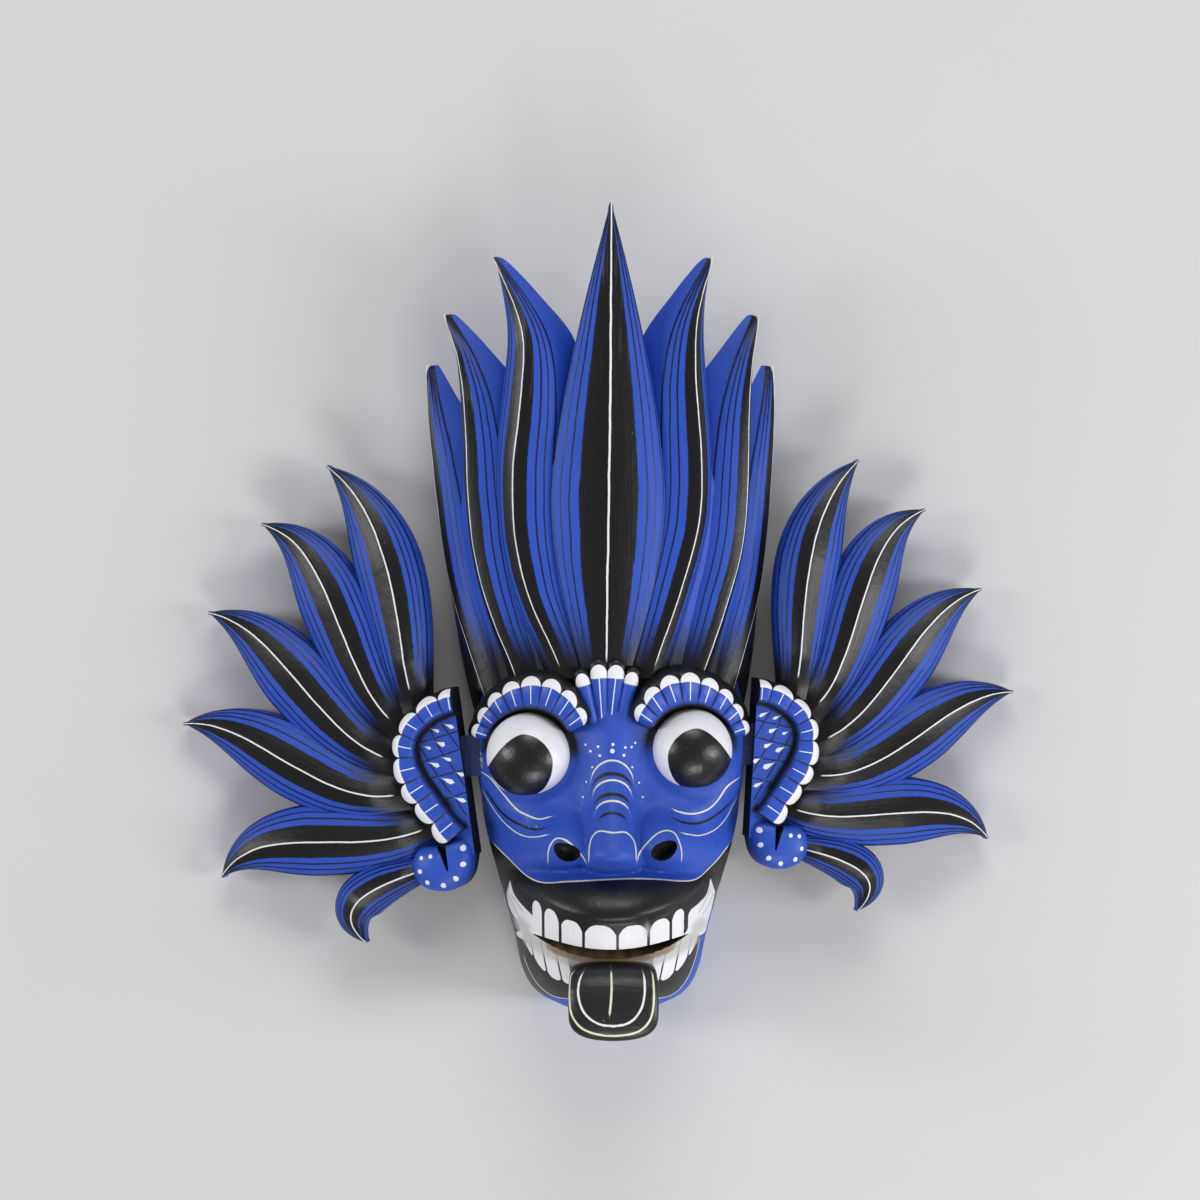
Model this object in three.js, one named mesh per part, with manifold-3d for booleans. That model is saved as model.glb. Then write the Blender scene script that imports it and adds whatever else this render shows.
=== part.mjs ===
// A raksha mask: a carved and painted wooden demon head under a crown of flames, with two ear wings whose
// tenons plug into its cheeks. It lies on its back. Millimetres; +X to the viewer's right, +Y up the face to
// the crown, +Z out of the face. The drawing's own zero is the middle of the eye line on the back plane.
import * as THREE from "three";
import { mergeVertices } from "three/addons/utils/BufferGeometryUtils.js";
import Module from "manifold-3d";

// The point of the drawing that is the middle of the whole footprint.
const FOOTPRINT_MIDDLE = { x: -4.59, y: 48.11 };

// Face: half width and depth of its D-shaped cross-section at heights on the eye-line scale.
const FACE_HALF_WIDTH = [
  [-97, 19], [-92, 28], [-84, 33], [-71, 36], [-58, 39.5], [-44, 42.5], [-24, 47.5], [0, 50], [22, 50],
  [38, 49],
];
const FACE_DEPTH = [
  [-97, 30], [-92, 42], [-84, 52], [-75, 58], [-71, 61], [-64, 64], [-57, 65], [-50, 61.5], [-44, 53],
  [-36, 49], [-18, 46], [0, 44], [22, 43], [38, 42],
];
const FACE_SQUARENESS = 2.35;
const FACE_STATIONS = 25;
const FACE_SIDES = 15;

// The hollow in the back: wall thickness at the sides, over the front and at its two ends.
const HOLLOW = { sideWall: 13, frontWall: 17, bottom: -80, top: 150, deepest: 34 };

const EYE = { x: 29, y: -0.5, z: 37.5, radius: 15.8 };
const BROW = {
  innerRadius: 15.2, outerRadius: 27.6, outerEndRadius: 22.5, lobes: 7, lobeBulge: 1.5,
  startAngle: 12, endAngle: 152, crestAtMiddle: 53, crestDrop: 21, crestReach: 50, foot: 26,
};
const BROW_FAN = { x: -1, footY: 8, length: 24, petals: 4, spread: 66, halfWidth: 4.2, z: 46, rise: 7 };
const NOSE = {
  ridge: [[15, 45], [6, 48.5], [-6, 51.5], [-18, 56], [-28, 63], [-36, 68], [-41, 66.5], [-45, 57]],
  halfWidth: [[15, 9], [6, 8.5], [-6, 9], [-18, 10], [-28, 11.5], [-36, 12.8], [-41, 12.5], [-45, 9]],
  foot: 38, stations: 12, sides: 10,
};
const NOSTRIL = { x: 16.5, y: -35, z: 52, wing: [10.5, 9.5, 11.5], hole: [4.3, 4.4, 8], holeZ: 63 };
const MOUTH = { halfWidth: 28, middleY: -73.2, cornerLift: 6, halfHeight: 2.1, backZ: 34, frontZ: 90 };
const TONGUE = {
  path: [[-77.4, 40], [-77.4, 54], [-78.6, 60.5], [-82.5, 64.6], [-89, 66], [-96.5, 66], [-101.5, 65]],
  halfWidth: [14.5, 15, 15.6, 16, 16.1, 15, 10.5],
  thickness: 7.2,
};

// Crown: a half tube of flames. Angles go round from straight ahead to the sides; a flame's path gives its
// ridge's angle at shares of its length, and its two half widths are towards the middle and away from it.
const CROWN = {
  axisZ: 12, baseY: 21, halfWidth: 48.3, flare: 0.145, depth: 33, depthFlare: 0.045, leanAtBase: -1,
  lean: -0.026, twist: 0.013, rootY: 30, ridgeRise: 5, wall: 17, tipWall: 4.5, stations: 14,
};
const MID_FLAME = {
  rootY: 27, tipY: 198.5, path: [[0, -0.5], [0.5, 1.4], [1, 2.2]],
  inner: { halfWidth: 21.5, bellyAt: 0.38, taper: 1.4, rootShare: 0.4 },
  outer: { halfWidth: 21.5, bellyAt: 0.38, taper: 1.4, rootShare: 0.4 },
};
const SIDE_FLAMES = [
  { rootY: 26, tipY: 179.5, path: [[0, 17.5], [0.2, 27.5], [0.4, 33.5], [0.75, 28.5], [0.87, 29.5], [1, 35]] },
  { rootY: 22, tipY: 159.7, path: [[0, 40], [0.2, 49.5], [0.4, 56], [0.75, 53], [0.88, 54.5], [1, 59.5]] },
  { rootY: 12, tipY: 142, path: [[0, 60], [0.2, 70], [0.4, 80], [0.75, 78], [1, 82]] },
  { rootY: 6, tipY: 123.5, path: [[0, 80], [0.2, 90], [0.4, 98], [0.75, 98], [1, 101]] },
].map((flame) => ({
  ...flame,
  inner: { halfWidth: 14, bellyAt: 0.45, taper: 2.1, rootShare: 0.6 },
  outer: { halfWidth: 9.6, bellyAt: 0.45, taper: 3, rootShare: 0.85 },
}));
const CROWN_CORE = {
  bottom: 6, reach: 110, sides: 17, sink: 0.7, frontRim: 104, frontDrop: 42, backRim: 142, backDrop: 36,
  backSink: 10,
};

// Ear wings, drawn round the ear's centre with +X away from the face and the carved ground at Z 0.
const WING_THICKNESS = 11;
const WING_FLAMES = [
  { root: [10.8, 22], rootHeading: 87, tip: [35.2, 111.2], tipHeading: 41, left: 10.8, right: 13.4 },
  { root: [18, 13], rootHeading: 52, tip: [62.6, 92.4], tipHeading: 20, left: 12, right: 13.4 },
  { root: [21, 0], rootHeading: 28, tip: [86.5, 61.5], tipHeading: 16, left: 12, right: 14.2 },
  { root: [18, -13], rootHeading: -5, tip: [100.5, 20.9], tipHeading: 0, left: 13.6, right: 13.2 },
  { root: [9, -26], rootHeading: -20, tip: [91.6, -37.6], tipHeading: -48, left: 13.6, right: 13 },
  { root: [14, -42], rootHeading: -12, tip: [38.8, -67], tipHeading: -125, left: 9.4, right: 7.6, reach: 0.52 },
];
const WING_FLAME = {
  rise: 5, edge: -1.6, tipTop: -4.5, bellyAt: 0.5, taper: 1.8, rootShare: 0.55, reach: 0.36, stations: 14,
};
const WING_CORE = { radius: 50, from: -62, to: 76, steps: 10, front: -1 };
const EAR_BAND = {
  arcY: 2, arcRadius: 16.6, startAngle: 98, endAngle: -25, tail: 27, halfWidth: 5.3, lobes: 8, lobeBulge: 1.1,
  crest: 6, edge: 2.5,
};
const EAR_PANEL = { innerX: -3.2, bottom: -36, front: 1.6 };
const EAR_LOBE = { x: 6.3, y: -40.3, radius: 11.2, rise: 6.5, slitWidth: 2, slitAngle: 72, slitDepth: 4 };
const TENON = { bottom: -9, top: 6, back: -9.4, front: -1.6, length: 20, clearance: 0.35 };
const LEFT_WING = { x: -60.6, y: -2.4, z: 29.4, lean: 6, sweep: 9.3, size: 1, side: -1 };
const RIGHT_WING = { x: 58.2, y: 2.6, z: 28.4, lean: 1.4, sweep: 9.3, size: 0.943, side: 1 };

const paint = {
  head: new THREE.MeshStandardMaterial({ color: 0x2448c0, roughness: 0.45, metalness: 0 }),
  leftWing: new THREE.MeshStandardMaterial({ color: 0x2448c0, roughness: 0.45, metalness: 0 }),
  rightWing: new THREE.MeshStandardMaterial({ color: 0x2448c0, roughness: 0.45, metalness: 0 }),
};

const wasm = await Module();
wasm.setup();

const degrees = THREE.MathUtils.degToRad;

// Smooth value at a height, through stops given as [height, value].
function profile(stops, at) {
  const s = [...stops].sort((a, b) => a[0] - b[0]);
  if (at <= s[0][0]) return s[0][1];
  if (at >= s[s.length - 1][0]) return s[s.length - 1][1];
  const i = s.findIndex((p) => p[0] > at) - 1;
  const slope = (j) => {
    const before = s[Math.max(j - 1, 0)];
    const after = s[Math.min(j + 1, s.length - 1)];
    return (after[1] - before[1]) / (after[0] - before[0]);
  };
  const [x0, y0] = s[i];
  const [x1, y1] = s[i + 1];
  const span = x1 - x0;
  const t = (at - x0) / span;
  const bend = t * t * (3 - 2 * t);
  return y0 + (y1 - y0) * bend + span * (t * (1 - t) ** 2 * slope(i) - t * t * (1 - t) * slope(i + 1));
}

// A closed skin over rings of equal point counts, with a fan on each end.
function loft(rings) {
  const count = rings[0].length;
  const points = rings.flat();
  const triangles = [];
  for (let r = 0; r + 1 < rings.length; r++) {
    for (let i = 0; i < count; i++) {
      const a = r * count + i;
      const b = r * count + ((i + 1) % count);
      triangles.push(a, b, a + count, b, b + count, a + count);
    }
  }
  for (const [ring, first, turn] of [[rings[0], 0, -1], [rings.at(-1), (rings.length - 1) * count, 1]]) {
    const middle = ring.reduce((sum, p) => sum.add(p), new THREE.Vector3()).divideScalar(count);
    points.push(middle);
    for (let i = 0; i < count; i++) {
      const edge = [first + i, first + ((i + 1) % count)];
      triangles.push(...(turn > 0 ? edge : edge.reverse()), points.length - 1);
    }
  }
  return new THREE.BufferGeometry().setFromPoints(points).setIndex(triangles);
}

// A geometry as a closed solid, its faces turned outwards.
function solid(geometry) {
  const bare = geometry.clone();
  bare.deleteAttribute("normal");
  bare.deleteAttribute("uv");
  const merged = mergeVertices(bare, 1e-4);
  const vertProperties = new Float32Array(merged.attributes.position.array);
  const triVerts = new Uint32Array(merged.index.array);
  const make = () => new wasm.Manifold(new wasm.Mesh({ numProp: 3, vertProperties, triVerts }));
  const made = make();
  if (made.volume() > 0) return made;
  for (let i = 0; i < triVerts.length; i += 3) {
    [triVerts[i], triVerts[i + 1]] = [triVerts[i + 1], triVerts[i]];
  }
  return make();
}

function joined(solids) {
  return solids.reduce((all, one) => all.add(one));
}

function geometryOf(manifold) {
  const mesh = manifold.getMesh();
  const geometry = new THREE.BufferGeometry();
  geometry.setAttribute("position", new THREE.BufferAttribute(new Float32Array(mesh.vertProperties), 3));
  geometry.setIndex(new THREE.BufferAttribute(new Uint32Array(mesh.triVerts), 1));
  return geometry.toNonIndexed();
}

function ellipsoid(radii, centre, across = 12, down = 8) {
  return new THREE.SphereGeometry(1, across, down).scale(...radii).translate(...centre);
}

function evenly(count, from, to) {
  return Array.from({ length: count }, (_, i) => from + ((to - from) * i) / (count - 1));
}

// Half width of a leaf-shaped flame, as a share, from its root at 0 to its tip at 1.
function leaf(t, { bellyAt, taper, rootShare = 0.45 }) {
  if (t < bellyAt) return rootShare + (1 - rootShare) * Math.sin((t / bellyAt) * (Math.PI / 2));
  return Math.max(0.045, 1 - ((t - bellyAt) / (1 - bellyAt)) ** taper);
}

// FACE

// A ring of the head at one height: round in front, straight down to below the back plane.
function headRing(y, halfWidth, depth, sides = FACE_SIDES, below = -3) {
  const round = 2 / FACE_SQUARENESS;
  const ring = evenly(sides, -90, 90).map((angle) => {
    const s = Math.sin(degrees(angle));
    const c = Math.max(0, Math.cos(degrees(angle)));
    return new THREE.Vector3(halfWidth * Math.sign(s) * Math.abs(s) ** round, y, depth * c ** round);
  });
  return [...ring, new THREE.Vector3(halfWidth, y, below), new THREE.Vector3(-halfWidth, y, below)];
}

function faceBlock() {
  const bottom = FACE_HALF_WIDTH[0][0];
  const top = FACE_HALF_WIDTH.at(-1)[0];
  const rings = evenly(FACE_STATIONS, bottom, top).map((y) => {
    return headRing(y, profile(FACE_HALF_WIDTH, y), profile(FACE_DEPTH, y));
  });
  return loft(rings);
}

// The hollow runs from behind the mouth up the back of the face and on up the crown.
function hollow() {
  const crownWall = CROWN.wall - 3;
  const rings = evenly(13, HOLLOW.bottom, HOLLOW.top).map((y) => {
    const inFace = y < CROWN.rootY;
    const grow = Math.min(1, (y - HOLLOW.bottom) / 18 + 0.3);
    const side = inFace ? profile(FACE_HALF_WIDTH, y) - HOLLOW.sideWall : crownHalfWidth(y) - crownWall;
    const front = inFace ? profile(FACE_DEPTH, y) - HOLLOW.frontWall : CROWN.axisZ + crownDepth(y) - crownWall;
    return headRing(y, side * grow, Math.min(front, HOLLOW.deepest) * grow, 11, -5);
  });
  return loft(rings);
}

function browCrest(x) {
  return BROW.crestAtMiddle - BROW.crestDrop * (Math.abs(x) / BROW.crestReach) ** 2.2;
}

// One brow: a raised band round the top of the eye with a lobed outer edge.
function brow(side) {
  const stations = BROW.lobes * 3 + 1;
  const rings = evenly(stations, 0, 1).map((t) => {
    const angle = degrees(BROW.startAngle + (BROW.endAngle - BROW.startAngle) * t);
    const lobe = Math.abs(Math.sin(Math.PI * BROW.lobes * t));
    const fullRadius = BROW.outerEndRadius + (BROW.outerRadius - BROW.outerEndRadius) * Math.min(1, t * 3);
    const outer = fullRadius - BROW.lobeBulge * (1 - lobe);
    const at = (radius, lift) => {
      const x = EYE.x + radius * Math.cos(angle);
      const y = EYE.y + radius * Math.sin(angle);
      return new THREE.Vector3(side * x, y, Math.max(BROW.foot + 2, browCrest(x) + lift));
    };
    const foot = (radius) => at(radius, 0).setZ(BROW.foot);
    const puff = 1.2 * lobe;
    const width = outer - BROW.innerRadius;
    return [
      foot(BROW.innerRadius),
      at(BROW.innerRadius, -5),
      at(BROW.innerRadius + width * 0.2, -1 + puff),
      at(BROW.innerRadius + width * 0.55, puff),
      at(outer - width * 0.12, -2.2 + puff),
      at(outer, -5.5),
      foot(outer),
    ];
  });
  return loft(rings);
}

function browFan() {
  const angles = evenly(BROW_FAN.petals, -BROW_FAN.spread / 2, BROW_FAN.spread / 2);
  return angles.map((angle) => {
    const half = BROW_FAN.length / 2;
    const petal = ellipsoid([BROW_FAN.halfWidth, half, BROW_FAN.rise], [0, half, 0], 8, 8);
    return petal.rotateZ(degrees(-angle)).translate(BROW_FAN.x, BROW_FAN.footY, BROW_FAN.z);
  });
}

function nose() {
  const top = NOSE.ridge[0][0];
  const bottom = NOSE.ridge.at(-1)[0];
  return loft(
    evenly(NOSE.stations, top, bottom).map((y) => {
      const rise = profile(NOSE.ridge, y) - NOSE.foot;
      const halfWidth = profile(NOSE.halfWidth, y);
      const arch = evenly(NOSE.sides, -90, 90).map((angle) => {
        const a = degrees(angle);
        return new THREE.Vector3(halfWidth * Math.sin(a), y, NOSE.foot + rise * Math.cos(a) ** 0.8);
      });
      const under = [halfWidth, -halfWidth].map((x) => new THREE.Vector3(x, y, NOSE.foot - 4));
      return [...arch, ...under];
    }),
  );
}

function mouthSlot() {
  return loft(
    evenly(11, -MOUTH.halfWidth, MOUTH.halfWidth).map((x) => {
      const share = x / MOUTH.halfWidth;
      const middle = MOUTH.middleY + MOUTH.cornerLift * share ** 2;
      const half = MOUTH.halfHeight * (1 - share ** 4) + 0.3;
      return [
        new THREE.Vector3(x, middle - half, MOUTH.backZ), new THREE.Vector3(x, middle + half, MOUTH.backZ),
        new THREE.Vector3(x, middle + half, MOUTH.frontZ), new THREE.Vector3(x, middle - half, MOUTH.frontZ),
      ];
    }),
  );
}

// The tongue runs out of the mouth, turns down over the lower lip and ends in a round.
function tongue() {
  const line = new THREE.SplineCurve(TONGUE.path.map(([y, z]) => new THREE.Vector2(y, z)));
  const widths = TONGUE.halfWidth.map((w, i) => [i / (TONGUE.halfWidth.length - 1), w]);
  return loft(
    evenly(13, 0, 1).map((t) => {
      const middle = line.getPoint(t);
      const along = line.getTangent(t);
      const half = TONGUE.thickness / 2;
      const w = profile(widths, t);
      const at = (x, out) => new THREE.Vector3(x, middle.x - along.y * -out, middle.y - along.x * out);
      return [
        at(-w, -half * 0.5), at(-w * 0.8, -half), at(w * 0.8, -half), at(w, -half * 0.5),
        at(w, half * 0.4), at(w * 0.82, half), at(0, half * 1.1), at(-w * 0.82, half), at(-w, half * 0.4),
      ];
    }),
  );
}

// CROWN

function crownHalfWidth(y) {
  return CROWN.halfWidth + CROWN.flare * (y - CROWN.baseY);
}

function crownDepth(y) {
  return CROWN.depth + CROWN.depthFlare * (y - CROWN.baseY);
}

// A point on the crown: angle round from the front, height, and lift out of the valley surface.
function onCrown(angle, y, lift) {
  const up = y - CROWN.baseY;
  const round = degrees(angle + CROWN.twist * up);
  return new THREE.Vector3(
    CROWN.leanAtBase + CROWN.lean * up + (crownHalfWidth(y) + lift) * Math.sin(round),
    y,
    CROWN.axisZ + (crownDepth(y) + lift) * Math.cos(round),
  );
}

function crownFlame(flame, side) {
  const rings = evenly(CROWN.stations, 0, 1).map((t) => {
    const y = flame.rootY + (flame.tipY - flame.rootY) * t;
    const round = THREE.MathUtils.radToDeg(1 / (crownHalfWidth(y) + 2));
    const ridge = profile(flame.path, t);
    const near = ridge - flame.inner.halfWidth * leaf(t, flame.inner) * round;
    const far = ridge + flame.outer.halfWidth * leaf(t, flame.outer) * round;
    const fall = Math.max(0, (t - 0.7) / 0.3) ** 2;
    const rise = CROWN.ridgeRise * Math.sin(Math.PI * (0.18 + 0.72 * t)) - 2 * fall;
    const inner = rise - (CROWN.wall + (CROWN.tipWall - CROWN.wall) * Math.max(0, (t - 0.72) / 0.28) ** 1.3);
    const edge = Math.max(-1.4 - 2 * fall, inner + 1.5);
    const at = (angle, lift) => onCrown(side * angle, y, lift);
    return [at(near, inner), at(near, edge), at(ridge, rise), at(far, edge), at(far, inner), at(ridge, inner)];
  });
  return loft(rings);
}

// The half tube behind the flames; its rim slopes up from front to back as the floor of the notches.
function crownCore() {
  const core = CROWN_CORE;
  const rings = evenly(core.sides, -core.reach, core.reach).map((angle) => {
    const aside = (angle / core.reach) ** 2;
    const frontRim = core.frontRim - core.frontDrop * aside;
    const backRim = core.backRim - core.backDrop * aside;
    const middle = (core.bottom + frontRim) / 2;
    return [
      onCrown(angle, core.bottom, -core.sink),
      onCrown(angle, middle, -core.sink),
      onCrown(angle, frontRim, -core.sink),
      onCrown(angle, backRim, -core.backSink),
      onCrown(angle, backRim, -CROWN.wall),
      onCrown(angle, middle, -CROWN.wall),
      onCrown(angle, core.bottom, -CROWN.wall),
    ];
  });
  return loft(rings);
}

// EAR WINGS

function wingFlame(flame) {
  const root = new THREE.Vector2(...flame.root);
  const tip = new THREE.Vector2(...flame.tip);
  const reach = root.distanceTo(tip) * (flame.reach ?? WING_FLAME.reach);
  const heading = (angle) => new THREE.Vector2(Math.cos(degrees(angle)), Math.sin(degrees(angle)));
  const line = new THREE.CubicBezierCurve(
    root,
    heading(flame.rootHeading).multiplyScalar(reach).add(root),
    heading(flame.tipHeading).multiplyScalar(-reach).add(tip),
    tip,
  );
  const rings = evenly(WING_FLAME.stations, 0, 1).map((t) => {
    const middle = line.getPoint(t);
    const along = line.getTangent(t);
    const left = flame.left * leaf(t, WING_FLAME);
    const right = flame.right * leaf(t, WING_FLAME);
    const fall = Math.max(0, (t - 0.5) / 0.5) ** 1.6;
    const top = WING_FLAME.rise + (WING_FLAME.tipTop - WING_FLAME.rise) * fall;
    const edge = Math.min(WING_FLAME.edge - 4 * fall, top - 0.8);
    const at = (out, z) => new THREE.Vector3(middle.x - along.y * out, middle.y + along.x * out, z);
    const back = -WING_THICKNESS;
    return [at(-right, back), at(-right, edge), at(0, top), at(left, edge), at(left, back)];
  });
  return loft(rings);
}

// A flat piece of the board, from its back up to a given front.
function boardSlab(shape, front) {
  const slab = new THREE.ExtrudeGeometry(shape, { depth: WING_THICKNESS + front, bevelEnabled: false });
  return slab.translate(0, 0, -WING_THICKNESS);
}

// The board between the flames' roots.
function wingCore() {
  const fan = new THREE.Shape();
  fan.moveTo(0, 0);
  for (const angle of evenly(WING_CORE.steps, WING_CORE.from, WING_CORE.to)) {
    fan.lineTo(WING_CORE.radius * Math.cos(degrees(angle)), WING_CORE.radius * Math.sin(degrees(angle)));
  }
  return boardSlab(fan, WING_CORE.front);
}

// Point and direction on the middle line of the ear's lobed band, by length from its upper end.
function onBand(length) {
  const turn = degrees(EAR_BAND.startAngle - EAR_BAND.endAngle);
  const onArc = Math.min(length, turn * EAR_BAND.arcRadius);
  const angle = degrees(EAR_BAND.startAngle) - onArc / EAR_BAND.arcRadius;
  const along = new THREE.Vector2(Math.sin(angle), -Math.cos(angle));
  const out = new THREE.Vector2(Math.cos(angle), Math.sin(angle));
  const point = out.clone().multiplyScalar(EAR_BAND.arcRadius).add(new THREE.Vector2(0, EAR_BAND.arcY));
  return { point: point.add(along.clone().multiplyScalar(length - onArc)), out };
}

function bandLength() {
  return degrees(EAR_BAND.startAngle - EAR_BAND.endAngle) * EAR_BAND.arcRadius + EAR_BAND.tail;
}

function earBand() {
  const rings = evenly(EAR_BAND.lobes * 3 + 1, 0, 1).map((t) => {
    const { point, out } = onBand(t * bandLength());
    const lobe = Math.abs(Math.sin(Math.PI * EAR_BAND.lobes * t));
    const outer = EAR_BAND.halfWidth + EAR_BAND.lobeBulge * lobe;
    const inner = -EAR_BAND.halfWidth;
    const at = (offset, z) => new THREE.Vector3(point.x + out.x * offset, point.y + out.y * offset, z);
    return [
      at(inner, -WING_THICKNESS),
      at(inner, EAR_BAND.edge),
      at(inner * 0.5, EAR_BAND.crest),
      at(outer * 0.45, EAR_BAND.crest + 0.6 * lobe),
      at(outer, EAR_BAND.edge),
      at(outer, -WING_THICKNESS),
    ];
  });
  return loft(rings);
}

function earPanel() {
  const outline = new THREE.Shape();
  outline.moveTo(EAR_PANEL.innerX, onBand(0).point.y);
  for (const length of evenly(12, 0, bandLength())) {
    const { point } = onBand(length);
    outline.lineTo(point.x, point.y);
  }
  outline.lineTo(EAR_PANEL.innerX, EAR_PANEL.bottom);
  return boardSlab(outline, EAR_PANEL.front);
}

// The lobe under the ear: a dome on the board's own thickness, and the slit that curls into it.
function earLobe() {
  const { x, y, radius, rise } = EAR_LOBE;
  const dome = ellipsoid([radius, radius, rise], [x, y, 0], 16, 8);
  const post = new THREE.CylinderGeometry(radius, radius, WING_THICKNESS, 16).rotateX(Math.PI / 2);
  return [dome, post.translate(x, y, -WING_THICKNESS / 2)];
}

function earLobeSlit() {
  const { x, y, radius, rise, slitWidth, slitDepth, slitAngle } = EAR_LOBE;
  const slit = new THREE.BoxGeometry(radius, slitWidth, slitDepth * 4);
  slit.translate(radius * 0.62, 0, rise + slitDepth);
  return slit.rotateZ(degrees(slitAngle)).translate(x, y, 0);
}

// The tenon that plugs into the cheek; grown by the clearance it is the slot.
function tenon(grow = 0) {
  const { bottom, top, back, front, length } = TENON;
  const box = new THREE.BoxGeometry(length + 2 * grow, top - bottom + 2 * grow, front - back + 2 * grow);
  return box.translate(EAR_PANEL.innerX - length / 2 + 4, (top + bottom) / 2, (front + back) / 2);
}

// One wing at its own size; side is -1 for the mirrored wing on the viewer's left.
function wing({ side, size }) {
  const shaped = (geometry) => solid(geometry.scale(side * size, size, size));
  const carved = [...WING_FLAMES.map(wingFlame), wingCore(), earBand(), earPanel(), ...earLobe()].map(shaped);
  return joined([...carved, solid(tenon().scale(side, 1, 1))]).subtract(shaped(earLobeSlit()));
}

// Where a wing sits: leaning out and swept back from the ear's centre.
function wingPlace({ x, y, z, lean, sweep, side }) {
  const matrix = new THREE.Matrix4().makeTranslation(x, y, z);
  matrix.multiply(new THREE.Matrix4().makeRotationY(degrees(side * sweep)));
  return matrix.multiply(new THREE.Matrix4().makeRotationZ(degrees(-side * lean)));
}

function wingSlot(place) {
  return tenon(TENON.clearance).scale(place.side, 1, 1).applyMatrix4(wingPlace(place));
}

function head() {
  const sides = [-1, 1];
  const carved = [
    faceBlock(),
    crownCore(),
    crownFlame(MID_FLAME, 1),
    ...SIDE_FLAMES.flatMap((flame) => sides.map((side) => crownFlame(flame, side))),
    ...sides.map((side) => ellipsoid(Array(3).fill(EYE.radius), [side * EYE.x, EYE.y, EYE.z], 16, 9)),
    ...sides.map(brow),
    ...browFan(),
    nose(),
    ...sides.map((side) => ellipsoid(NOSTRIL.wing, [side * NOSTRIL.x, NOSTRIL.y, NOSTRIL.z], 12, 8)),
  ];
  const nostrils = sides.map((side) => {
    return ellipsoid(NOSTRIL.hole, [side * NOSTRIL.x, NOSTRIL.y, NOSTRIL.holeZ], 10, 6);
  });
  const behind = new THREE.BoxGeometry(400, 500, 60).translate(0, 50, -30);
  const block = joined(carved.map(solid)).subtract(joined([mouthSlot(), hollow()].map(solid)));
  const cuts = [...nostrils, behind, wingSlot(LEFT_WING), wingSlot(RIGHT_WING)];
  return joined([block, solid(tongue())]).subtract(joined(cuts.map(solid)));
}

function named(name, carving, material) {
  const mesh = new THREE.Mesh(geometryOf(carving), material);
  mesh.name = name;
  return mesh;
}

const leftWing = named("ear_wing_left", wing(LEFT_WING), paint.leftWing);
leftWing.applyMatrix4(wingPlace(LEFT_WING));
const rightWing = named("ear_wing_right", wing(RIGHT_WING), paint.rightWing);
rightWing.applyMatrix4(wingPlace(RIGHT_WING));

const mask = new THREE.Group();
mask.add(named("mask_head", head(), paint.head), leftWing, rightWing);
mask.position.set(-FOOTPRINT_MIDDLE.x, -FOOTPRINT_MIDDLE.y, 0);

const part = new THREE.Group();
part.add(mask);

export default part;
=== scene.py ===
import math
import bpy
import numpy as np
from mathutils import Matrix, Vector


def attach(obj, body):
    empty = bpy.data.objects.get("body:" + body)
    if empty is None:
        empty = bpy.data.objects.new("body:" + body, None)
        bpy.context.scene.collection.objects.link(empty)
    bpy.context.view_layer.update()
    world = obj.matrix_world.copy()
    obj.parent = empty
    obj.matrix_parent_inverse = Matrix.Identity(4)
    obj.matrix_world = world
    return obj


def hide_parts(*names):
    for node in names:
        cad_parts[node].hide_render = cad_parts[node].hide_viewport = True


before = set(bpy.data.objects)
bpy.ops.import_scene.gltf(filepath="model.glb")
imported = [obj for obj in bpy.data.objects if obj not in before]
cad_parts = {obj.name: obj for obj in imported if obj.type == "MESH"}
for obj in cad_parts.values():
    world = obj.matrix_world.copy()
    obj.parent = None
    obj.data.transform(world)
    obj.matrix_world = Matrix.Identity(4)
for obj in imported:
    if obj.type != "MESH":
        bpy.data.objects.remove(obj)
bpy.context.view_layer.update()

mm = 0.001
drawingMiddle = np.array([-4.59, 48.11, 0.0])  # the drawing's point that lies over the frame's origin
markNames = ("stroke", "zone", "tooth", "haze")  # what the carvings tell the paint, corner by corner

paintTones = {
    "blue": (0.023, 0.087, 0.520),
    "deepBlue": (0.012, 0.046, 0.330),
    "black": (0.0065, 0.0065, 0.0075),
    "white": (0.80, 0.80, 0.83),
    "cream": (0.74, 0.71, 0.52),
    "wood": (0.42, 0.29, 0.175),
    "woodDark": (0.20, 0.125, 0.068),
    "primer": (0.46, 0.46, 0.46),
    "redSpeck": (0.42, 0.07, 0.03),
    "gum": (0.50, 0.48, 0.47),
    "oldWood": (0.13, 0.085, 0.055),
    "stain": (0.30, 0.22, 0.14),
    "eyeShade": (0.60, 0.60, 0.64),
    "tongueSheen": (0.016, 0.016, 0.018),
    "blackSheen": (0.02, 0.02, 0.024),
}
coatDepth = 0.16  # how deep brush marks and chips go, in mm


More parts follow.
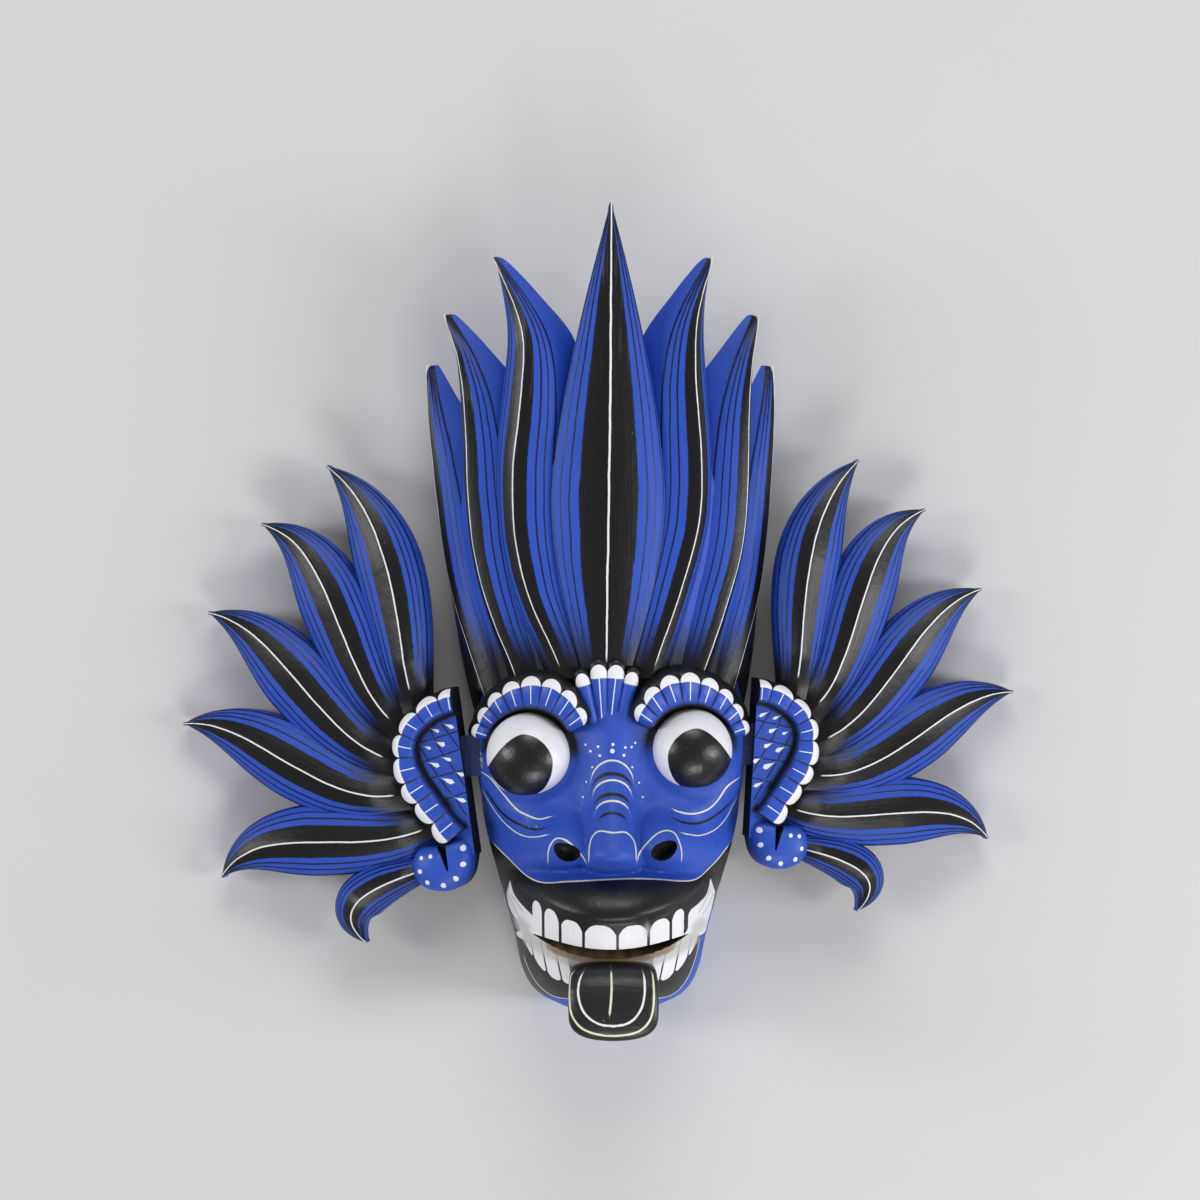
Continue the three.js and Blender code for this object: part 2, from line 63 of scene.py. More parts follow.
# Shader maths: a wire is a socket that can stand in a sum
class Wire:
    def __init__(self, finish, socket):
        self.finish, self.socket = finish, socket

    def math(self, operation, *others):
        return self.finish.node("ShaderNodeMath", {"operation": operation}, dict(enumerate((self, *others))))

    def __add__(self, other):
        return self.math("ADD", other)

    def __sub__(self, other):
        return self.math("SUBTRACT", other)

    def __rsub__(self, other):
        return self.math("MULTIPLY_ADD", -1.0, other)

    def __mul__(self, other):
        return self.math("MULTIPLY", other)

    def __truediv__(self, other):
        return self.math("DIVIDE", other)

    def __pow__(self, other):
        return self.math("POWER", other)

    def __abs__(self):
        return self.math("ABSOLUTE")

    __radd__ = __add__
    __rmul__ = __mul__

    def most(self, other):
        return self.math("MAXIMUM", other)

    def also(self, out):  # another output of the same node
        return Wire(self.finish, self.socket.node.outputs[out])

    def over(self, edge, soft):  # 1 where the value is above the edge, 0 below
        settings = {"interpolation_type": "SMOOTHSTEP"}
        sockets = {"Value": self, "From Min": edge - soft, "From Max": edge + soft}
        return self.finish.node("ShaderNodeMapRange", settings, sockets)

    def under(self, edge, soft):
        return 1 - self.over(edge, soft)


# One painted or bare finish: its node tree and the marks it reads
class Finish:
    def __init__(self, name, **fixed):
        self.material = bpy.data.materials.new(name)
        self.material.use_nodes = True
        self.tree = self.material.node_tree
        self.shader = self.tree.nodes["Principled BSDF"]
        for socket, value in fixed.items():
            self.shader.inputs[socket.replace("_", " ")].default_value = value
        self.spot = self.vector("MULTIPLY", self.node("ShaderNodeTexCoord", out=3), (1000, 1000, 1000))

    def node(self, kind, settings=None, sockets=None, out=0):
        made = self.tree.nodes.new(kind)
        for name, value in (settings or {}).items():
            setattr(made, name, value)
        for name, value in (sockets or {}).items():
            if isinstance(value, Wire):
                self.tree.links.new(value.socket, made.inputs[name])
            else:
                made.inputs[name].default_value = value
        return Wire(self, made.outputs[out])

    def vector(self, operation, first, second):
        return self.node("ShaderNodeVectorMath", {"operation": operation}, {0: first, 1: second})

    def parts(self, vector):
        x = self.node("ShaderNodeSeparateXYZ", None, {0: vector})
        return x, x.also(1), x.also(2)

    def mark(self, name):
        return self.parts(self.node("ShaderNodeAttribute", {"attribute_name": name}, None, out=1))

    def place(self, x, y, z):
        return self.node("ShaderNodeCombineXYZ", None, {0: x, 1: y, 2: z})

    def noise(self, scale, detail=2.0, at=None, rough=0.5):
        sockets = {"Vector": at or self.spot, "Scale": scale, "Detail": detail, "Roughness": rough}
        return self.node("ShaderNodeTexNoise", {"noise_dimensions": "3D"}, sockets)

    def shake(self, scale):  # how far an unsteady hand strays, either way
        return self.noise(scale, 2.0) - 0.5

    def brushed(self, stretch, scale=1.0):  # brush marks drawn out one way
        return self.noise(scale, 3.0, self.vector("MULTIPLY", self.spot, stretch))

    def mix(self, share, first, second):  # each tone is a wire, a colour or a paint's name
        tones = [paintTones[t] if isinstance(t, str) else t for t in (first, second)]
        tones = [(*t, 1.0) if isinstance(t, tuple) else t for t in tones]
        return self.node("ShaderNodeMix", {"data_type": "RGBA"}, {0: share, 6: tones[0], 7: tones[1]}, out=2)

    def done(self, colour, roughness, height, depth=coatDepth):
        links = self.tree.links
        links.new(colour.socket, self.shader.inputs["Base Color"])
        links.new(roughness.socket, self.shader.inputs["Roughness"])
        bump = self.node("ShaderNodeBump", None, {"Height": height, "Distance": depth * mm, "Strength": 1.0})
        links.new(bump.socket, self.shader.inputs["Normal"])
        return self.material


# What every painted coat shares: cloudy blue, brush marks, small chips down to the primer
def coat(finish, brushAt=None):
    cloud = finish.noise(0.05, 3.0)
    brush = finish.noise(1.0, 3.0, brushAt) if brushAt else finish.brushed((0.9, 0.12, 0.5))
    blue = finish.mix(brush * 0.55 + cloud * 0.35 - 0.12, "blue", "deepBlue")
    return blue, brush, cloud


def chipped(finish, colour, wear, scale=0.7):
    chips = (finish.noise(scale, 5.0, rough=0.65) + wear * 0.26).over(0.735, 0.02)
    fleck = finish.noise(1.6, 3.0)
    under = finish.mix(fleck.over(0.5, 0.08), "primer", "wood")
    return finish.mix(chips, colour, under), chips


flameStyle = {
    "stripes": ((0.33, 0.30), (0.64, 0.24), (0.94, 0.28)),  # place out from the band, half width in mm
    "mistGrain": 0.45,
}


def flamePaint():
    f = Finish("flamePaint", Specular_IOR_Level=0.32)
    share, offset, along = f.mark("stroke")
    run, bandShare, lineHalf = f.mark("zone")
    mistAndShade, streakLevel, wear = f.mark("haze")
    brushAt = f.place(offset * 1.5, run * 0.045, share)
    blue, brush, cloud = coat(f, brushAt)
    wander = f.shake(0.09)
    shake = f.shake(0.55)
    side = abs(share + wander * 0.05)
    half = (abs(offset) + 0.02) / (abs(share) + 0.004)
    band = ((side - bandShare) * half + shake * 0.5).under(0.0, 0.22)
    lines = None
    for place, width in flameStyle["stripes"]:
        gap = abs(side - bandShare - (1 - bandShare) * place) * half + shake * 0.22 - width
        line = gap.under(0.0, 0.16)
        lines = line if lines is None else lines.most(line)
    misty = (mistAndShade + (brush - 0.5) * flameStyle["mistGrain"] + cloud * 0.2 - 0.1).over(0.5, 0.42)
    ink = band.most(lines * 0.96).most(misty)
    colour = f.mix(ink, blue, "black")
    # grey streaks along the black band, as strong as the flame's streak level
    greyStreaks = (brush * 0.7 + cloud * 0.4 + streakLevel * 0.35).over(0.86, 0.16) * streakLevel * band
    colour = f.mix(greyStreaks * 0.7, colour, "primer")
    ridge = (abs(offset + wander * 0.6) + shake * 0.16 - lineHalf).under(0.0, 0.1) * along.over(0.035, 0.01)
    colour = f.mix(ridge, colour, "white")
    colour, chips = chipped(f, colour, wear)
    roughness = 0.46 + brush * 0.2 - ink * 0.2 + chips * 0.3 + greyStreaks * 0.2
    height = brush * 0.45 + ridge * 0.25 - chips * 0.8 + f.noise(0.35, 2.0) * 0.6
    return f.done(colour, roughness, height)


def wallPaint():
    f = Finish("wallPaint", Specular_IOR_Level=0.4)
    mistAndShade, _, wear = f.mark("haze")
    blue, brush, _ = coat(f)
    # dark where the mark is high: airbrushed black near the roots, and painted shade on the tenon and on the ear
    # panels' walls
    dark = (mistAndShade + (brush - 0.5) * 0.3).over(0.5, 0.4)
    colour, chips = chipped(f, f.mix(dark, blue, "black"), wear)
    return f.done(colour, 0.48 + brush * 0.16, brush * 0.6 - chips * 0.8)


def strokeMask(f, shake, mark="stroke"):
    # offset from the nearest painted line, half its width, and its tone: 0 cream, 1 black, 2 white, 3 a dot
    offset, half, tone = f.mark(mark)
    isDot = tone.over(2.5, 0.01)
    reach = isDot * (offset * offset + half * half).math("SQRT") + (1 - isDot) * abs(offset)
    width = isDot * (tone - 3) + (1 - isDot) * half
    painted = (width * (1 + shake * 0.7) - reach).over(0.0, 0.11)
    black = tone.over(0.5, 0.01) * tone.under(1.5, 0.01)
    white = tone.over(1.5, 0.01)
    line = f.mix(black, f.mix(white, "cream", "white"), "black")
    return painted, line


teethStyle = {"gapHalf": 0.5, "lowerGapHalf": 0.28, "rowShift": 20, "upperCount": 7, "lowerCount": 4}


def facePaint():
    f = Finish("facePaint", Specular_IOR_Level=0.4)
    blue, brush, _ = coat(f)
    shake = f.shake(0.5)
    lip, white, slot = f.mark("zone")
    phase, height, width = f.mark("tooth")
    mistAndShade, gum, wear = f.mark("haze")
    dark = (lip + shake * 0.3).over(0.0, 0.2)
    shade = (mistAndShade + (f.noise(0.25, 3.0) - 0.5) * 0.5).over(0.5, 0.45)
    ink = dark.most(shade)
    colour = f.mix(ink, blue, "black")
    # the two rows of teeth, each counted along its own row
    shift = teethStyle["rowShift"]
    lower = phase.over(shift - 5.0, 0.5)
    part = phase.math("FRACT")
    gap = 0.5 - abs(part - 0.5)
    arch = (abs(part - 0.5) * 2) ** 3.0
    upper = (gap * width - teethStyle["gapHalf"] + shake * 0.16).over(0, 0.1)
    upper = upper * (0.98 - height - arch * 0.5 + shake * 0.03).over(0, 0.015)
    upper = upper * phase.over(0.0, 0.01) * phase.under(teethStyle["upperCount"] - 0.001, 0.001)
    petal = (height - arch * 1.9 + shake * 0.2).over(0, 0.14)
    inRow = phase.over(shift + 0.001, 0.001) * phase.under(shift + teethStyle["lowerCount"] - 0.001, 0.001)
    lowerTeeth = (gap * width - teethStyle["lowerGapHalf"]).over(0, 0.1) * petal * inRow
    patch = (white + shake * 0.25).over(0.0, 0.12)
    teeth = (upper * (1 - lower)).most(lowerTeeth * lower).most(patch)
    colour = f.mix(teeth * (1 - brush * 0.06), colour, "white")
    # sprayed gum, fading to bare wood at the slot
    grain = f.noise(0.9, 4.0)
    misty = (gum + (grain - 0.5) * 0.5).over(0.5, 0.42)
    colour = f.mix(misty * 0.8, colour, "gum")
    wood = f.mix(grain * 0.8, "oldWood", "wood")
    colour = f.mix((slot + (grain - 0.5) * 0.6).over(0.5, 0.3) * 0.85, colour, wood)
    painted, line = strokeMask(f, shake)
    colour = f.mix(painted, colour, line)
    colour, chips = chipped(f, colour, wear)
    roughness = 0.44 + brush * 0.18 - ink * 0.14
    relief = brush * 0.4 + painted * 0.25 + teeth * 0.35 - chips * 0.8 + f.noise(0.3, 2.0) * 0.7
    return f.done(colour, roughness, relief)


def eyePaint():
    f = Finish("eyePaint", Specular_IOR_Level=0.5)
    pupil = f.mark("stroke")[0]
    shake = f.shake(0.4)
    brush = f.brushed((0.7, 0.2, 0.5), 0.9)
    white = f.mix(brush.over(0.55, 0.3) * 0.25, "white", "eyeShade")
    inPupil = (pupil + shake * 0.25).over(0.0, 0.12)
    colour = f.mix(inPupil, white, "black")
    colour, _ = chipped(f, colour, inPupil * 0.12, 0.5)
    return f.done(colour, 0.34 + brush * 0.16 - inPupil * 0.08, brush * 0.5 + inPupil * 0.3 + shake, 0.14)


lobeStyle = {"capFrom": 0.66, "capTo": 0.96, "capHalf": 0.482, "tickHalf": 0.19, "tickFrom": 0.18,
             "seamHalf": 0.28, "innerEdge": 0.1}


def lobePaint():
    f = Finish("lobePaint", Specular_IOR_Level=0.4)
    phase, out, width = f.mark("stroke")
    mistAndShade, noTick, wear = f.mark("haze")
    blue, brush, _ = coat(f)
    shake = f.shake(0.5)
    across = phase.math("FRACT") - 0.5
    hand = f.noise(1.0, 0.0, f.place(phase.math("FLOOR") * 3.7, 1.3, 0.2)) - 0.5  # each lobe leans its own way
    seam = ((0.5 - abs(across)) * width + shake * 0.3).under(lobeStyle["seamHalf"], 0.26)
    edge = (out + shake * 0.05).under(lobeStyle["innerEdge"], 0.08).most((mistAndShade + shake * 0.4).over(0.5, 0.4))
    rim = (out + shake * 0.015 + hand * 0.03).over(lobeStyle["capFrom"], 0.012)
    colour = f.mix((seam * 0.9).most(edge).most(rim), blue, "black")
    lean = across + (out - 0.6) * hand * 0.5
    tick = (abs(lean) * width + shake * 0.1).under(lobeStyle["tickHalf"], 0.09)
    tick = tick * (out + hand * 0.12).over(lobeStyle["tickFrom"], 0.03) * (1 - rim) * (1 - noTick)
    colour = f.mix(tick, colour, "white")
    wide = across * (1 / lobeStyle["capHalf"])
    tall = (out - lobeStyle["capFrom"]) * (1 / (lobeStyle["capTo"] - lobeStyle["capFrom"]))
    cap = (wide * wide + tall * tall + shake * 0.08).under(0.97, 0.05) * rim
    colour = f.mix(cap, colour, "white")
    colour, chips = chipped(f, colour, wear)
    return f.done(colour, 0.36 + brush * 0.16, brush * 0.4 + cap * 0.35 - seam * 0.8 - chips * 0.7)


def tonguePaint():
    f = Finish("tonguePaint", Specular_IOR_Level=0.5)
    brush = f.brushed((0.15, 0.9, 0.5))
    shake = f.shake(0.5)
    _, spots, wear = f.mark("haze")
    black = f.mix(brush * 0.5, "black", "tongueSheen")
    painted, line = strokeMask(f, shake)
    colour = f.mix(painted, black, line)
    red = (f.noise(1.3, 3.0) * spots).over(0.52, 0.03)
    colour = f.mix(red, colour, "redSpeck")
    colour, chips = chipped(f, colour, wear)
    return f.done(colour, 0.3 + brush * 0.22, brush * 0.7 + painted * 0.25 - chips)


def panelPaint():
    f = Finish("panelPaint", Specular_IOR_Level=0.4)
    mistAndShade, _, wear = f.mark("haze")
    blue, brush, _ = coat(f)
    shake = f.shake(0.4)
    # painted shade along the ear band's inner edge and over the walls
    dark = (mistAndShade + shake * 0.5).over(0.5, 0.45)
    crossed, crossTone = strokeMask(f, shake, "zone")
    colour = f.mix(crossed * 0.9, f.mix(dark, blue, "black"), crossTone)
    painted, line = strokeMask(f, shake)
    colour = f.mix(painted, colour, line)
    colour, chips = chipped(f, colour, wear)
    return f.done(colour, 0.4 + brush * 0.16, brush * 0.5 + painted * 0.3 - chips * 0.7)


def blackPaint():
    f = Finish("blackPaint", Specular_IOR_Level=0.4)
    brush = f.noise(0.8, 4.0)
    colour = f.mix(brush.over(0.6, 0.2), "black", "blackSheen")
    return f.done(colour, 0.45 + brush * 0.25, brush, 0.25)


def bareWood():
    f = Finish("bareWood", Specular_IOR_Level=0.25)
    x, y, z = f.parts(f.spot)
    rings = f.noise(0.06, 3.0, f.place(x * 1.4, y * 0.12, z * 1.4))
    grain = f.noise(1.0, 4.0, f.place(x * 1.2, y * 0.06, z * 1.2))
    gouge = f.node("ShaderNodeTexWave", {"wave_type": "BANDS", "bands_direction": "X"},
                   {"Vector": f.spot, "Scale": 0.05, "Distortion": 4.0, "Detail": 2.0, "Detail Scale": 0.6})
    colour = f.mix(rings * 0.6 + grain * 0.5 - 0.05, "wood", "woodDark")
    colour = f.mix(f.noise(0.03, 2.0).over(0.55, 0.2) * 0.35, colour, "stain")
    return f.done(colour, 0.62 + grain * 0.2, gouge * 0.9 + grain * 0.4, 0.35)


finishes = {paint.__name__: paint() for paint in (
    flamePaint, wallPaint, facePaint, eyePaint, lobePaint, tonguePaint, panelPaint, blackPaint, bareWood)}
print("finishes mixed:", len(finishes))


# Mesh tools, all in millimetres of the drawing
def curveThrough(stops, at):
    s = np.array(sorted(stops), float)
    x, y = s[:, 0], s[:, 1]
    steps = np.arange(len(x))
    before, after = np.maximum(steps - 1, 0), np.minimum(steps + 1, len(x) - 1)
    slope = (y[after] - y[before]) / (x[after] - x[before])
    at = np.clip(at, x[0], x[-1])
    i = np.clip(np.searchsorted(x, at, side="right") - 1, 0, len(x) - 2)
    span = x[i + 1] - x[i]
    t = (at - x[i]) / span
    bend = span * (t * (1 - t) ** 2 * slope[i] - t * t * (1 - t) * slope[i + 1])
    return y[i] + (y[i + 1] - y[i]) * t * t * (3 - 2 * t) + bend


def smoothPath(points, count):
    p = np.array(points, float)
    run = np.concatenate([[0], np.cumsum(np.hypot(*np.diff(p, axis=0).T))])
    at = np.linspace(0, run[-1], count)
    return np.stack([curveThrough(list(zip(run, p[:, k])), at) for k in (0, 1)], 1)


def ease(value, low, high):  # 0 below low, 1 above high
    t = np.clip((value - low) / (high - low), 0, 1)
    return t * t * (3 - 2 * t)


def softMax(first, second, blend):
    h = np.maximum(blend - np.abs(first - second), 0) / blend
    return np.maximum(first, second) + h * h * blend / 4


def signedPower(value, power):
    return np.sign(value) * np.abs(value) ** power


def blot(x, y, place, reach):  # 1 at the place, fading away all round it
    return np.exp(-(((x - place[0]) / reach[0]) ** 2 + ((y - place[1]) / reach[1]) ** 2))


def beyond(t, start):  # 0 up to the start, 1 at the end
    return np.clip((t - start) / (1 - start), 0, 1)


def roundedEnd(t, start, least):  # full width up to the start, then a half round
    return np.sqrt(np.maximum(1 - beyond(t, start) ** 2, least))


def stack(*parts):
    return np.stack(np.broadcast_arrays(*parts), -1).astype(float)


# A closed skin over rings of points; columns name the finish of each strip between two points of a ring
def loft(rings, columns, ends, **marks):
    count, around = rings.shape[:2]
    points = np.concatenate([rings.reshape(-1, 3), [rings[0].mean(0), rings[-1].mean(0)]])
    i = np.arange(around)
    j = (i + 1) % around
    base = np.arange(count - 1)[:, None] * around
    quads = np.stack([base + i, base + j, base + j + around, base + i + around], -1).reshape(-1, 4)
    last = (count - 1) * around
    first = np.stack([j, i, np.full(around, count * around)], 1)
    tip = np.stack([last + i, last + j, np.full(around, count * around + 1)], 1)
    faces = quads.tolist() + first.tolist() + tip.tolist()
    faceFinish = list(columns) * (count - 1) + [ends] * (2 * around)
    flat = {}
    for name, values in marks.items():
        v = np.broadcast_to(values, (count, around, 3)).reshape(-1, 3)
        flat[name] = np.concatenate([v, [v[:around].mean(0), v[-around:].mean(0)]])
    return {"points": points, "faces": faces, "finish": faceFinish, "marks": flat, "cornerMarks": {}}


def withFeet(top, footZ):  # carries the two edges of a raised skin straight down
    feet = top[:, [-1, 0]]
    feet[..., 2] = footZ
    return np.concatenate([top, feet], 1)


def box(low, high, finish, **marks):
    (x0, y0, z0), (x1, y1, z1) = low, high
    rings = np.array([[[x0, y0, z], [x1, y0, z], [x1, y1, z], [x0, y1, z]] for z in (z0, z1)], float)
    return loft(rings, [finish] * 4, finish, **marks)


def volumeOf(piece):
    p = piece["points"]
    fans = [(f[0], f[k], f[k + 1]) for f in piece["faces"] for k in range(1, len(f) - 1)]
    a, b, c = (p[[t[k] for t in fans]] for k in range(3))
    return np.einsum("ij,ij->i", a, np.cross(b, c)).sum()


def linked(name, data):
    made = bpy.data.objects.new(name, data)
    bpy.context.scene.collection.objects.link(made)
    return made


def asObject(name, piece, put=None):
    points = piece["points"] if put is None else put(piece["points"])
    piece = {**piece, "points": points}
    faces = piece["faces"]
    turned = volumeOf(piece) < 0
    if turned:
        faces = [f[::-1] for f in faces]
    mesh = bpy.data.meshes.new(name)
    mesh.from_pydata(((points - drawingMiddle) * mm).tolist(), [], faces)
    used = sorted(set(piece["finish"]))
    for finish in used:
        mesh.materials.append(finishes[finish])
    mesh.polygons.foreach_set("material_index", [used.index(f) for f in piece["finish"]])
    corners = np.array([v for f in faces for v in f])
    for mark in markNames:
        attribute = mesh.attributes.new(mark, "FLOAT_VECTOR", "CORNER")
        if mark in piece["cornerMarks"]:
            rows = piece["cornerMarks"][mark]
            values = np.concatenate([r[::-1] if turned else r for r in rows])
        else:
            values = piece["marks"].get(mark, np.zeros((len(points), 3)))[corners]
        attribute.data.foreach_set("vector", values.astype(np.float32).ravel())
    return linked(name, mesh)


def add(name, piece, put=None):
    return "UNION", asObject(name, piece, put)


def cut(name, piece, put=None):
    return "DIFFERENCE", asObject(name, piece, put)


def carve(name, block, steps):  # joins and cuts one after the other, into one closed mesh
    for operation, tool in steps:
        step = block.modifiers.new(tool.name, "BOOLEAN")
        step.solver, step.operation, step.object, step.material_mode = "MANIFOLD", operation, tool, "TRANSFER"
    graph = bpy.context.evaluated_depsgraph_get()
    mesh = bpy.data.meshes.new_from_object(
        block.evaluated_get(graph), preserve_all_data_layers=True, depsgraph=graph)
    mesh.name = name
    for spent in [block] + [tool for operation, tool in steps]:
        bpy.data.objects.remove(spent)
    mesh.polygons.foreach_set("use_smooth", [True] * len(mesh.polygons))
    mesh.set_sharp_from_angle(angle=math.radians(36))
    return linked(name, mesh)


# Painted lines: signed offset and share along a path, for many spots at once
def offsetsFrom(path, spots):
    a, b = path[:-1], path[1:]
    ab = b - a
    long = np.hypot(*ab.T)
    rel = spots[:, None] - a
    t = np.clip((rel * ab).sum(-1) / (long ** 2), 0, 1)
    gap = np.hypot(*np.moveaxis(rel - ab * t[..., None], -1, 0))
    best = gap.argmin(1)
    row = np.arange(len(spots))
    rel = rel[row, best]
    turn = np.sign(ab[best, 0] * rel[:, 1] - ab[best, 1] * rel[:, 0])
    run = np.concatenate([[0], np.cumsum(long)])[best] + t[row, best] * long[best]
    return gap[row, best] * np.where(turn == 0, 1, turn), run / long.sum()


toneCodes = {"cream": 0, "black": 1, "white": 2}


def upwardness(piece):  # 1 where the skin lies level with its front up, 0 where it stands upright
    p, total = piece["points"], np.zeros_like(piece["points"])
    for corners in (3, 4):
        f = np.array([face for face in piece["faces"] if len(face) == corners])
        normal = np.cross(p[f[:, 2]] - p[f[:, 0]], p[f[:, -1]] - p[f[:, 1]])
        for k in range(corners):
            np.add.at(total, f[:, k], normal)
    return math.copysign(1, volumeOf(piece)) * total[:, 2] / np.maximum(np.linalg.norm(total, axis=1), 1e-9)


def strokeMarks(piece, lines, dots=(), mark="stroke", lowest=-2.0):
    # each face takes its nearest line or dot, so no value is blended between two of them
    spots, up = piece["points"][:, :2], upwardness(piece)
    values, gaps = [], []
    for tone, half, (start, end), points in lines:
        offset, along = offsetsFrom(smoothPath(points, 8 * len(points)), spots)
        width = half * np.clip(1.2 * up, 0.35, 1)  # as wide on a slope as on the level
        width *= ease(along, 0, start) if start else 1
        width *= ease(1 - along, 0, end) if end else 1
        values.append(stack(offset, width, toneCodes[tone]))
        gaps.append(np.abs(offset) - half)
    for x, y, radius in dots:
        dx, dy = spots[:, 0] - x, spots[:, 1] - y
        values.append(stack(dx, dy, 3 + radius))
        gaps.append(np.hypot(dx, dy) - radius)
    values.append(stack(9.0 + 0 * up, 0.0, 1))  # nothing painted
    gaps.append(np.where(up < lowest, -99.0, 99.0))
    values, gaps = np.array(values), np.array(gaps)
    piece["cornerMarks"][mark] = [values[gaps[:, f].mean(1).argmin(), f] for f in piece["faces"]]


# The crown: nine ridged flames on a half tube
crown = {
    "axisZ": 12, "baseY": 21, "halfWidth": 48.3, "flare": 0.145, "depth": 33, "depthFlare": 0.045,
    "leanAtBase": -1, "lean": -0.026, "twist": 0.013, "rootY": 30, "ridgeRise": 5, "wall": 17, "tipWall": 4.5,
    "stations": 66, "facetPoints": 13, "tipFrom": 0.965, "tipRings": 12, "roundFrom": 0.98,
    "fallFrom": 0.7, "thinFrom": 0.72,  # where along a flame its ridge drops and its wall thins
    "mistFrom": 21, "mistTo": 62,  # heights between which the black mist at the roots thins out
}
midFlame = {"rootY": 27, "tipY": 198.5, "path": [[0, -0.5], [0.5, 1.4], [1, 2.2]], "greyStreaks": (0.35, 0.35),
            "inner": (21.5, 0.38, 1.4, 0.4), "outer": (21.5, 0.38, 1.4, 0.4),  # half width, belly, taper, root
            "edge": 0.8, "bands": (0.49, 0.49), "line": 0.36, "bevel": [[0, 0], [1, 0]]}
sideForm = {"inner": (14, 0.45, 2.1, 0.6), "outer": (9.6, 0.45, 3, 0.85), "edge": -1.6, "bands": (0.35, 0.42),
            "line": 0.24, "greyStreaks": (0.6, 0.15),  # the left side has more grey streaks
            "bevel": [[0, 0], [0.4, 0], [0.62, 6], [0.8, 8.4], [0.9, 4.2], [0.95, 3.2], [1, 2.0]]}  # notch cut
sideFlames = [{**sideForm, **flame} for flame in (
    {"rootY": 26, "tipY": 179.5, "leftOuter": (12.5, 0.45, 3, 0.75),
     "path": [[0, 17.5], [0.2, 27.5], [0.4, 33.5], [0.75, 28.5], [0.87, 29.5], [1, 35]],
     "leftPath": [[0, 17.5], [0.08, 22.6], [0.16, 27.8], [0.25, 31.4], [0.36, 32.6], [0.5, 30.9], [0.62, 27.6],
                  [0.74, 24.9], [0.82, 25], [0.9, 28.2], [1, 34.5]]},
    {"rootY": 22, "tipY": 159.7, "path": [[0, 40], [0.2, 49.5], [0.4, 56], [0.75, 53], [0.88, 54.5], [1, 59.5]],
     "leftPath": [[0, 39], [0.08, 42.4], [0.16, 46.8], [0.26, 50.8], [0.38, 52.7], [0.52, 51.8], [0.66, 49.8],
                  [0.78, 49.3], [0.87, 51], [0.93, 53.8], [1, 58.8]]},
    {"rootY": 12, "tipY": 142, "path": [[0, 60], [0.2, 70], [0.4, 80], [0.75, 78], [1, 82]]},
    {"rootY": 6, "tipY": 123.5, "path": [[0, 80], [0.2, 90], [0.4, 98], [0.75, 98], [1, 101]]},
)]
crownCore = {"bottom": 6, "reach": 110, "sink": 0.7, "frontRim": 104, "frontDrop": 42, "backRim": 142,
             "backDrop": 36, "backSink": 10}


def crownHalf(y):
    return crown["halfWidth"] + crown["flare"] * (y - crown["baseY"])


def crownDepth(y):
    return crown["depth"] + crown["depthFlare"] * (y - crown["baseY"])


def onCrown(angle, y, lift):
    up = y - crown["baseY"]
    turn = np.radians(angle + crown["twist"] * up)
    x = crown["leanAtBase"] + crown["lean"] * up + (crownHalf(y) + lift) * np.sin(turn)
    return stack(x, y + 0 * x, crown["axisZ"] + (crownDepth(y) + lift) * np.cos(turn))


def leaf(t, bellyAt, taper, rootShare):
    below = rootShare + (1 - rootShare) * np.sin(np.clip(t / bellyAt, 0, 1) * math.pi / 2)
    above = np.maximum(0.045, 1 - np.clip((t - bellyAt) / (1 - bellyAt), 0, 1) ** taper)
    return np.where(t < bellyAt, below, above)


def facetShares(points):  # from one edge over the ridge to the other, closer at the ridge and the edges
    half = 0.5 - 0.5 * np.cos(np.linspace(0, math.pi, points))
    return np.concatenate([-half[:0:-1], half])


def ridgeShape(side):  # 1 on the ridge, 0 at the edge: two slightly full facets with an eased edge
    side = np.abs(side)
    return 1 - 0.8 * side ** 1.22 - 0.2 * side ** 8


